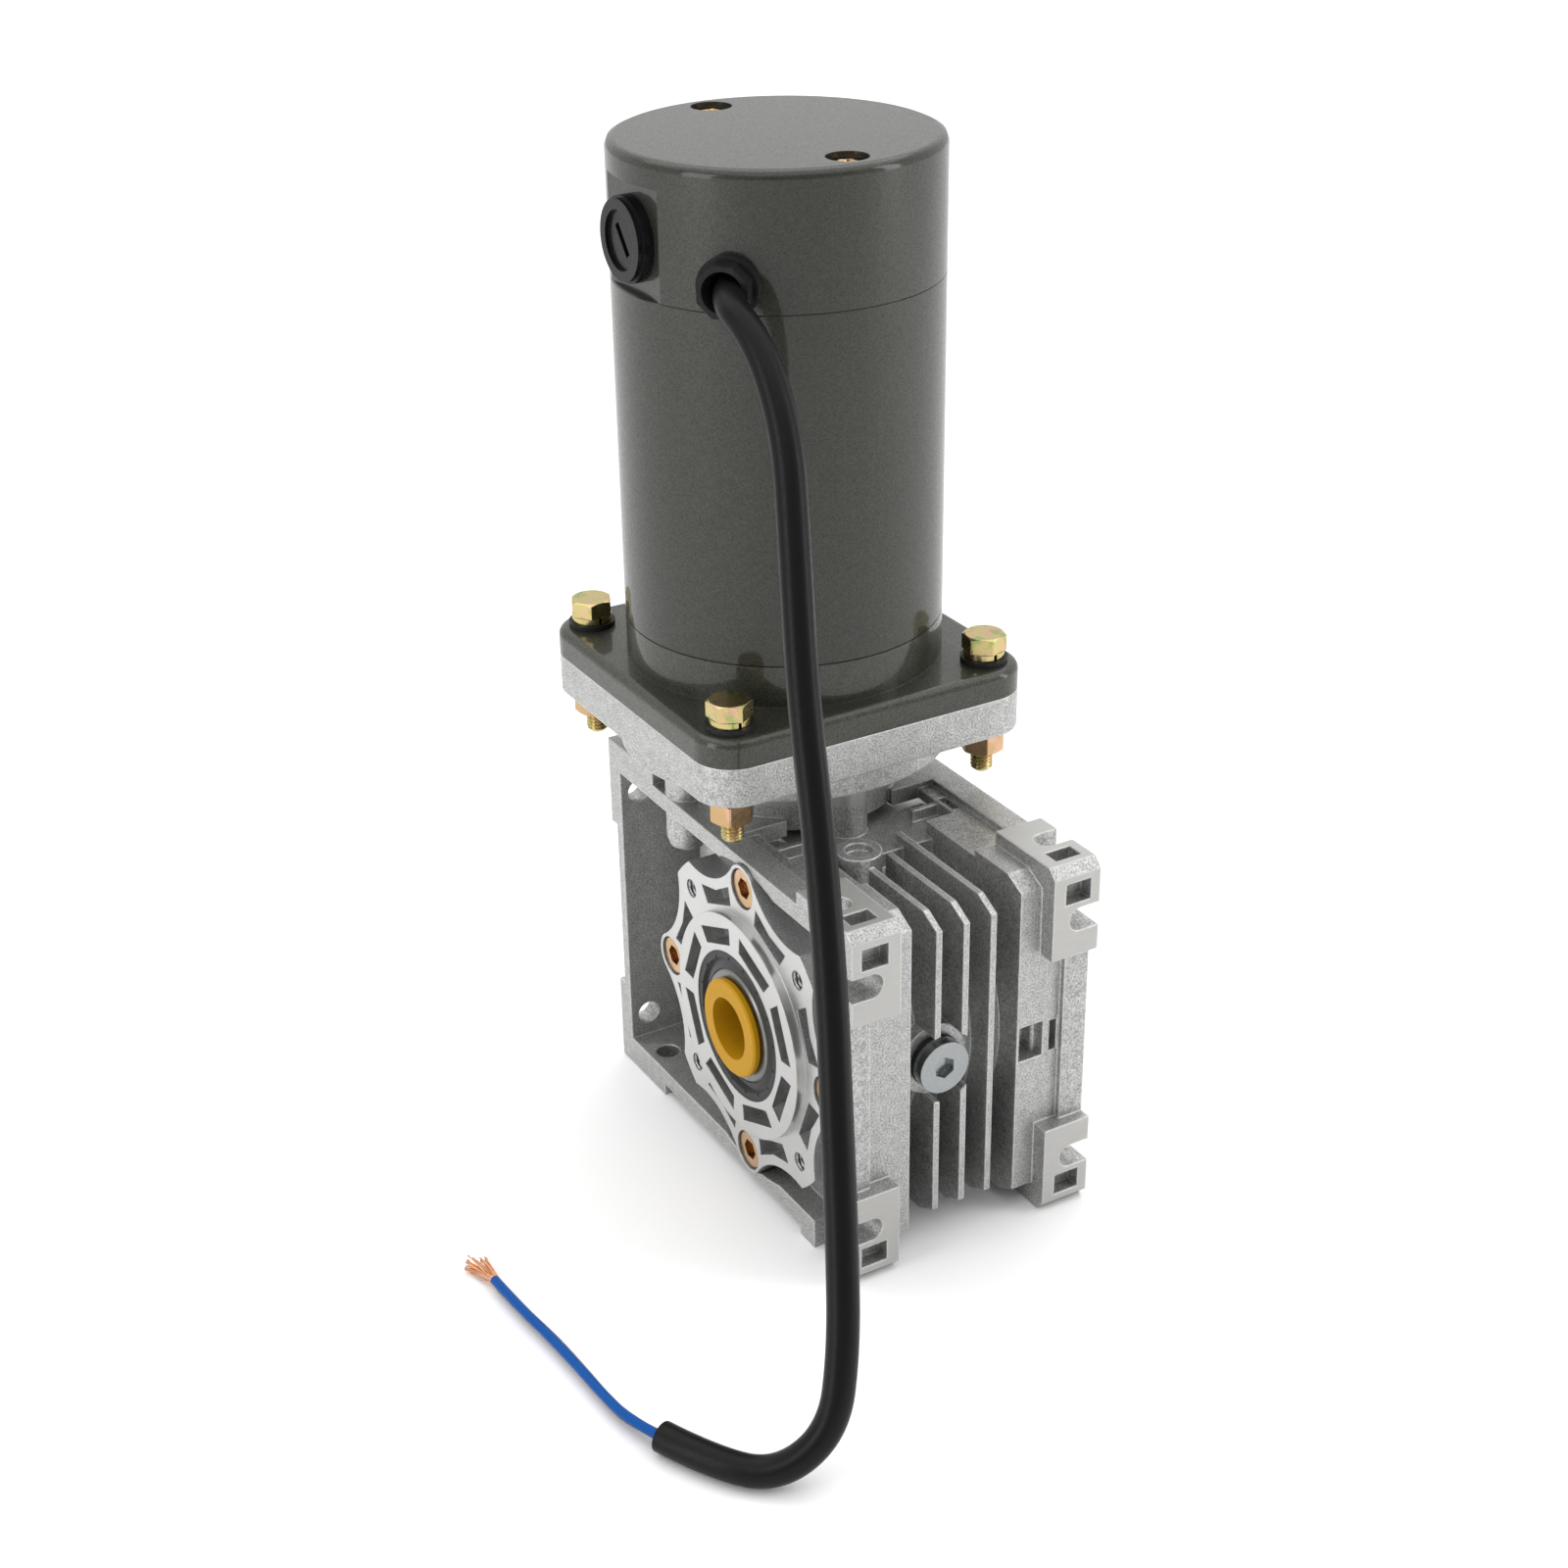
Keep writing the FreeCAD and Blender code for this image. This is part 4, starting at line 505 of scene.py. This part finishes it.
class Finish:
    """One procedural material on Object coordinates, in metres."""

    def __init__(self, name):
        self.material = bpy.data.materials.new(name)
        self.material.use_nodes = True
        self.tree = self.material.node_tree
        self.shader = self.tree.nodes["Principled BSDF"]
        self.place = self.node("ShaderNodeTexCoord", {}, output="Object")
        axes = self.node("ShaderNodeSeparateXYZ", {}, self.place, output=None)
        self.x, self.y, self.z = (Value(self, axes.outputs[k]) for k in range(3))

    def node(self, kind, settings, *inputs, output=0, **named):
        """A node with its settings, its inputs by order or by name, and one output wrapped."""
        made = self.tree.nodes.new(kind)
        for key, value in settings.items():
            setattr(made, key, value)
        sockets = [(made.inputs[k], value) for k, value in enumerate(inputs)]
        sockets += [(made.inputs[key.replace("_", " ")], value) for key, value in named.items()]
        for socket, value in sockets:
            self.feed(socket, value)
        if output is None:
            return made
        return Value(self, made.outputs[output])

    def feed(self, socket, value):
        if isinstance(value, Value):
            self.tree.links.new(value.socket, socket)
        elif value is not None:
            socket.default_value = value

    def noise(self, scale, detail=2.0, roughness=0.5, stretch=None):
        """Smooth noise from 0 to 1, scale in features per metre, stretched along the axes."""
        place = self.place
        if stretch:
            place = self.node("ShaderNodeMapping", {}, self.place, Scale=stretch, output=0)
        return self.node("ShaderNodeTexNoise", {}, Vector=place, Scale=scale, Detail=detail,
                         Roughness=roughness)

    def noise_of(self, value, scale, detail=2.0):
        """Noise along one number, such as a radius, for turning marks."""
        return self.node("ShaderNodeTexNoise", {"noise_dimensions": "1D"}, W=value, Scale=scale,
                         Detail=detail)

    def flakes(self, scale):
        """A different grey in each small cell."""
        cells = self.node("ShaderNodeTexVoronoi", {}, Vector=self.place, Scale=scale,
                          output="Color")
        return self.node("ShaderNodeSeparateColor", {}, cells)

    def radius(self, one, other):
        return (one * one + other * other).maths("SQRT")

    def spread(self, value, low, high, to_low=0.0, to_high=1.0):
        """Maps a number from one range to another, clamped."""
        return self.node("ShaderNodeMapRange", {}, value, low, high, to_low, to_high)

    def blend(self, amount, first, second):
        """Mixes two colours, given as values or as three numbers."""
        made = self.tree.nodes.new("ShaderNodeMix")
        made.data_type = "RGBA"
        self.feed(made.inputs[0], amount)
        for socket, colour in ((made.inputs[6], first), (made.inputs[7], second)):
            self.feed(socket, colour if isinstance(colour, Value) else (*colour, 1))
        return Value(self, made.outputs[2])

    def edge(self, radius):
        """The normal of edges rounded by this radius."""
        return self.node("ShaderNodeBevel", {"samples": 4}, Radius=radius)

    def corner(self, radius):
        """One on convex or concave edges within this radius, nought on flat faces."""
        round_normal = self.edge(radius)
        flat = self.node("ShaderNodeNewGeometry", {}, output="Normal")
        match = self.node("ShaderNodeVectorMath", {"operation": "DOT_PRODUCT"}, round_normal,
                          flat, output="Value")
        return self.spread(1 - match, 0.02, 0.16)

    def bump(self, height, depth, normal=None):
        """Relief of the given depth in metres, over an optional other normal."""
        return self.node("ShaderNodeBump", {}, Height=height, Distance=depth, Strength=1.0,
                         Normal=normal)

    def set(self, **sockets):
        for name, value in sockets.items():
            if isinstance(value, tuple) and len(value) == 3:
                value = (*value, 1)
            self.feed(self.shader.inputs[name.replace("_", " ")], value)
        return self.material


def wear(*names):
    """A function that puts a finish on these CAD nodes and returns it."""
    def give(material):
        for name in names:
            slots = nodes[name].data.materials
            slots.clear()
            slots.append(material)
        return material
    return give


# Colours as linear red, green and blue, from the darkest to the lightest.
CAST_ALUMINIUM = ((0.22, 0.225, 0.22), (0.62, 0.62, 0.61))
MILLED_ALUMINIUM = ((0.40, 0.395, 0.38), (0.48, 0.475, 0.455))
TURNED_ALUMINIUM = ((0.42, 0.42, 0.415), (0.68, 0.68, 0.67))
COVER_ALUMINIUM = ((0.33, 0.335, 0.335), (0.60, 0.60, 0.595))
# A painted highlight: the light that rounded cast edges catch.
EDGE_HIGHLIGHT = (0.86, 0.86, 0.855)
PAINT = (np.array((0.009, 0.0092, 0.0066)), np.array((0.037, 0.038, 0.028)))
ZINC_GOLD = (0.52, 0.43, 0.19)
ZINC_PINK = (0.60, 0.37, 0.24)
ZINC_GREEN = (0.33, 0.37, 0.14)
ZINC_COPPER = (0.50, 0.33, 0.17)
COPPER = ((0.62, 0.27, 0.12), (0.88, 0.50, 0.30))

# Faces of the housing that are milled: both foot sides in Z, the fin side and the closed side.
PAD_PLANE = 49.95
CLOSED_SIDE = -73.45
# The covers are turned above this height and outside this radius.
TURNED_HEIGHT = 36.45
TURNED_RADIUS = 20


def shot_blasted(name, pads=False):
    """Cast aluminium with a fine bright grain; its foot pads are milled flat and smooth."""
    f = Finish(name)
    grain = f.noise(2000, 2, 0.6)
    mottle = f.noise(420, 3)
    tone = f.spread(grain, 0.35, 0.68) * 0.76 + f.spread(mottle, 0.3, 0.7) * 0.24
    colour = f.blend(tone, *CAST_ALUMINIUM)
    rough = f.spread(grain, 0.3, 0.7, 0.50, 0.34)
    relief = grain
    if pads:
        milled = f.x.above(PAD_PLANE * MM).most(f.z.size().above(PAD_PLANE * MM))
        milled = milled.most(f.x.below(CLOSED_SIDE * MM))
        lines = f.noise(500, 2, 0.5, stretch=(8, 0.4, 8))
        flat = f.blend(lines, *MILLED_ALUMINIUM)
        colour = f.blend(milled, colour, flat)
        rough = rough + milled * (f.spread(lines, 0.3, 0.7, 0.5, 0.42) - rough)
        relief = relief * (1 - milled) + milled * lines * 0.1
    # Convex and concave edges are lightened here: a painted highlight for the light that rounded
    # edges catch.
    colour = f.blend(f.corner(0.7 * MM) * 0.8, colour, EDGE_HIGHLIGHT)
    return f.set(Base_Color=colour, Roughness=rough, Metallic=0.75,
                 Normal=f.bump(relief, 0.11 * MM, f.edge(0.7 * MM)))


def turned_cover(name):
    """Die-cast cover whose face and spigot are turned: fine rings round the output axis."""
    f = Finish(name)
    radius = f.radius(f.x, f.z)
    depth = f.y.size()
    turned = depth.above(TURNED_HEIGHT * MM).least(radius.above(TURNED_RADIUS * MM))
    rings = f.noise_of(radius, 5200, 3)
    grain = f.noise(2600, 2, 0.6)
    streaks = f.noise(90, 3)
    bright = f.blend(rings * 0.7 + streaks * 0.3, *TURNED_ALUMINIUM)
    dull = f.blend(f.spread(grain, 0.35, 0.68), *COVER_ALUMINIUM)
    relief = rings * turned + grain * (1 - turned) * 3
    rough = 0.46 - turned * 0.2 + grain * 0.05
    return f.set(Base_Color=f.blend(turned, dull, bright), Roughness=rough,
                 Metallic=0.9, Normal=f.bump(relief, 0.025 * MM, f.edge(0.4 * MM)))


def motor_paint(name, painted_lift=1.0):
    """Dark grey-olive metallic paint under a clear coat, made lighter by the lift factor as
    painted light.
    """
    f = Finish(name)
    flake = f.flakes(3800)
    cloud = f.noise(420, 3)
    tone = f.spread(flake, 0.0, 1.0) * 0.8 + cloud * 0.3
    colour = f.blend(tone, *(shade * painted_lift for shade in PAINT))
    waves = f.noise(260, 2)
    return f.set(Base_Color=colour, Metallic=0.6, Roughness=f.spread(flake, 0, 1, 0.66, 0.5),
                 Coat_Weight=0.6, Coat_Roughness=0.09,
                 Normal=f.bump(waves, 0.02 * MM, f.edge(0.8 * MM)))


def yellow_zinc(name, warm):
    """Zinc plating with a yellow passivation that shifts between gold, pink and green.

    Where warm is one, its ground is copper-coloured and has no green.
    """
    f = Finish(name)
    film = f.noise(190, 2)
    second = f.noise(330, 2)
    base = f.blend(warm, ZINC_GOLD, ZINC_COPPER)
    colour = f.blend(f.spread(film, 0.52, 0.66), base, ZINC_PINK)
    colour = f.blend(f.spread(second, 0.54, 0.68) * (1 - warm), colour, ZINC_GREEN)
    scratches = f.noise(2200, 2, 0.5)
    return f.set(Base_Color=colour, Metallic=1.0,
                 Roughness=f.spread(scratches, 0.3, 0.7, 0.16, 0.28),
                 Normal=f.bump(scratches, 0.004 * MM, f.edge(0.25 * MM)))


def plain_steel(name, dark, light, rough=0.3):
    """Ground or plated steel with fine directionless scratches."""
    f = Finish(name)
    marks = f.noise(1500, 3, 0.6)
    return f.set(Base_Color=f.blend(marks, dark, light), Metallic=1.0,
                 Roughness=f.spread(marks, 0.3, 0.7, rough - 0.06, rough + 0.08),
                 Normal=f.bump(marks, 0.012 * MM, f.edge(0.25 * MM)))


def moulded(name, dark, light, rough, depth=0.02):
    """Moulded rubber or plastic: nearly even colour, low gloss, a soft mould texture."""
    f = Finish(name)
    skin = f.noise(900, 3, 0.55)
    return f.set(Base_Color=f.blend(skin, dark, light), Specular_IOR_Level=0.14,
                 Roughness=f.spread(skin, 0.3, 0.7, rough + 0.05, rough - 0.05),
                 Normal=f.bump(skin, depth * MM, f.edge(0.2 * MM)))


def seal_rubber(name):
    """Black seal rubber that is a little glossier at its lip than at its rim."""
    f = Finish(name)
    radius = f.radius(f.x, f.z)
    skin = f.noise(1200, 3, 0.55)
    return f.set(Base_Color=f.blend(skin, (0.006, 0.006, 0.006), (0.016, 0.016, 0.016)),
                 Roughness=f.spread(radius, 15 * MM, 20 * MM, 0.3, 0.45),
                 Specular_IOR_Level=0.3,
                 Normal=f.bump(skin, 0.02 * MM, f.edge(0.3 * MM)))


def stranded_copper(name):
    """Bright drawn copper."""
    f = Finish(name)
    tarnish = f.noise(700, 2)
    return f.set(Base_Color=f.blend(tarnish, *COPPER), Metallic=1.0,
                 Roughness=f.spread(tarnish, 0.3, 0.7, 0.24, 0.36),
                 Normal=f.bump(tarnish, 0.005 * MM))


def lamination(name):
    """Stacked steel sheets: fine dark lines across the motor's axis."""
    f = Finish(name)
    sheet = 0.5 * MM
    sheets = (f.z * (2 * math.pi / sheet)).maths("SINE")
    colour = f.blend(f.spread(sheets, -1, 1), (0.16, 0.16, 0.16), (0.4, 0.4, 0.4))
    return f.set(Base_Color=colour, Metallic=1.0, Roughness=0.45,
                 Normal=f.bump(sheets, 0.02 * MM))


def wound_copper(name):
    """Enamelled copper windings."""
    f = Finish(name)
    turns = f.node("ShaderNodeTexWave", {"bands_direction": "Z"}, Vector=f.place, Scale=190.0,
                   Distortion=1.5, output="Fac")
    return f.set(Base_Color=f.blend(turns, (0.24, 0.08, 0.03), (0.6, 0.26, 0.1)), Metallic=0.7,
                 Roughness=0.3, Normal=f.bump(turns, 0.2 * MM))


core_wall.data.materials.append(wear("housing")(shot_blasted("cast_housing", pads=True)))
wear("adaptor_plate")(shot_blasted("cast_adaptor"))
wear("output_cover_near", "output_cover_far")(turned_cover("turned_cover"))
tapped_threads.data.materials.append(
    plain_steel("cut_thread", (0.30, 0.30, 0.30), (0.55, 0.55, 0.55), 0.3))
painted_cap.data.materials.append(wear("motor_tube", "rear_cap")(motor_paint("motor_paint")))
# The flange wears the tube's paint made 1.6 times lighter: painted light, not a paint of its own.
wear("motor_flange")(motor_paint("flange_painted_light", 1.6))
hex_bolts.data.materials.append(wear("spring_washers")(yellow_zinc("zinc_bolts", 0.0)))
copper_zinc = wear("cover_screws_near", "cover_screws_far")(yellow_zinc("zinc_nuts", 1.0))
hex_nuts.data.materials.append(copper_zinc)
through_screws.data.materials.append(copper_zinc)
wear("adaptor_screws")(plain_steel("black_screws", (0.03, 0.03, 0.03), (0.08, 0.08, 0.08)))
wear("oil_plug")(plain_steel("white_zinc", (0.24, 0.25, 0.255), (0.38, 0.395, 0.40), 0.22))
wear("output_shaft", "wheel_hub", "worm", "motor_shaft", "motor_key", "brush_springs")(
    plain_steel("ground_steel", (0.16, 0.16, 0.155), (0.28, 0.28, 0.27), 0.36))
wear("output_outer_race_near", "output_outer_race_far", "output_inner_race_near",
     "output_inner_race_far", "worm_outer_race_lower", "worm_inner_race_lower",
     "worm_outer_race_upper", "worm_inner_race_upper", "motor_outer_race_front",
     "motor_inner_race_front", "motor_outer_race_rear", "motor_inner_race_rear")(
    plain_steel("bearing_steel", (0.5, 0.5, 0.5), (0.7, 0.7, 0.7), 0.2))
wear("wheel_rim", "brush_holders")(plain_steel("bronze", (0.45, 0.28, 0.12), (0.7, 0.46, 0.2)))
seal_dots.data.materials.append(
    wear("output_seal_near", "output_seal_far")(seal_rubber("seal_rubber")))
wear("worm_end_cap", "input_seal", "oil_plug_ring", "upper_washers", "lower_washers")(
    moulded("black_rubber", (0.010, 0.010, 0.010), (0.026, 0.026, 0.026), 0.45))
wear("cable_gland")(moulded("gland_rubber", (0.008, 0.008, 0.008), (0.02, 0.02, 0.02), 0.34))
wear("brush_cap_near", "brush_cap_far")(
    moulded("black_moulding", (0.004, 0.004, 0.004), (0.008, 0.008, 0.008), 0.26, depth=0.004))
wear("shaft_plug")(moulded("yellow_moulding", (0.44, 0.225, 0.004), (0.50, 0.262, 0.007), 0.46))
wear("brushes")(moulded("pressed_carbon", (0.02, 0.02, 0.02), (0.06, 0.06, 0.06), 0.55))
wear("magnets")(moulded("ferrite", (0.05, 0.05, 0.055), (0.12, 0.12, 0.12), 0.6))
wear("armature_core")(lamination("lamination"))
wear("armature_winding")(wound_copper("enamelled_copper"))
wear("commutator")(stranded_copper("commutator_copper"))

cable.data.materials.append(
    moulded("cable_sheath", (0.004, 0.004, 0.004), (0.008, 0.008, 0.008), 0.36, depth=0.03))
blue_wire.data.materials.append(
    moulded("blue_insulation", (0.0010, 0.062, 0.26), (0.0015, 0.078, 0.33), 0.38))
brown_wire.data.materials.append(
    moulded("brown_insulation", (0.06, 0.02, 0.008), (0.09, 0.032, 0.014), 0.34))
copper = stranded_copper("copper_strands")
blue_strands.data.materials.append(copper)
brown_strands.data.materials.append(copper)


# Studio.
def area_light(name, place, target, size, power):
    """A soft box of the given width and height in metres and power in watts."""
    data = bpy.data.lights.new(name, "AREA")
    data.shape = "RECTANGLE"
    data.size, data.size_y = size
    data.energy = power
    light = bpy.data.objects.new(name, data)
    light.location = place
    light.rotation_euler = (Vector(target) - Vector(place)).to_track_quat("-Z", "Y").to_euler()
    scene.collection.objects.link(light)


FLOOR_REACH = 60
FLOOR_Z = (STANDING_Z - 0.1) * MM
floor_mesh = bpy.data.meshes.new("floor")
floor_mesh.from_pydata([(x * FLOOR_REACH, y * FLOOR_REACH, FLOOR_Z)
                        for x, y in ((-1, -1), (1, -1), (1, 1), (-1, 1))], [], [(0, 1, 2, 3)])
floor = bpy.data.objects.new("floor", floor_mesh)
scene.collection.objects.link(floor)
paper = Finish("floor_paper")
floor_mesh.materials.append(paper.set(Base_Color=(0.96, 0.96, 0.96), Roughness=0.9))

# The room is white on the left and darker where this direction points.
DARK_SIDE = (0.78, -0.47, 0.41)
FACING_LIGHT, FACING_DARK = -0.35, 0.9
ROOM_LIGHT, ROOM_DARK = 1.02, 0.3
world = bpy.data.worlds.new("studio")
world.use_nodes = True
sky = world.node_tree.nodes
sky["Background"].inputs[0].default_value = (1, 1, 1, 1)
direction = sky.new("ShaderNodeTexCoord")
facing = sky.new("ShaderNodeVectorMath")
facing.operation = "DOT_PRODUCT"
facing.inputs[1].default_value = DARK_SIDE
shade = sky.new("ShaderNodeMapRange")
for socket, value in zip(shade.inputs[1:], (FACING_LIGHT, FACING_DARK, ROOM_LIGHT, ROOM_DARK)):
    socket.default_value = value
world.node_tree.links.new(direction.outputs["Generated"], facing.inputs[0])
world.node_tree.links.new(facing.outputs["Value"], shade.inputs[0])
world.node_tree.links.new(shade.outputs[0], sky["Background"].inputs[1])
scene.world = world
scene.view_settings.view_transform = "Standard"
MIDDLE = (-0.02, 0, 0.08)
area_light("top_box", (-0.3, 0.2, 2.4), (-0.3, 0.2, 0), (4.5, 4.5), 80)
area_light("left_box", (0.1, -1.25, 0.45), MIDDLE, (0.5, 1.1), 6)
area_light("right_box", (0.75, 0.95, 0.45), MIDDLE, (0.3, 1.1), 5)

bpy.context.view_layer.update()
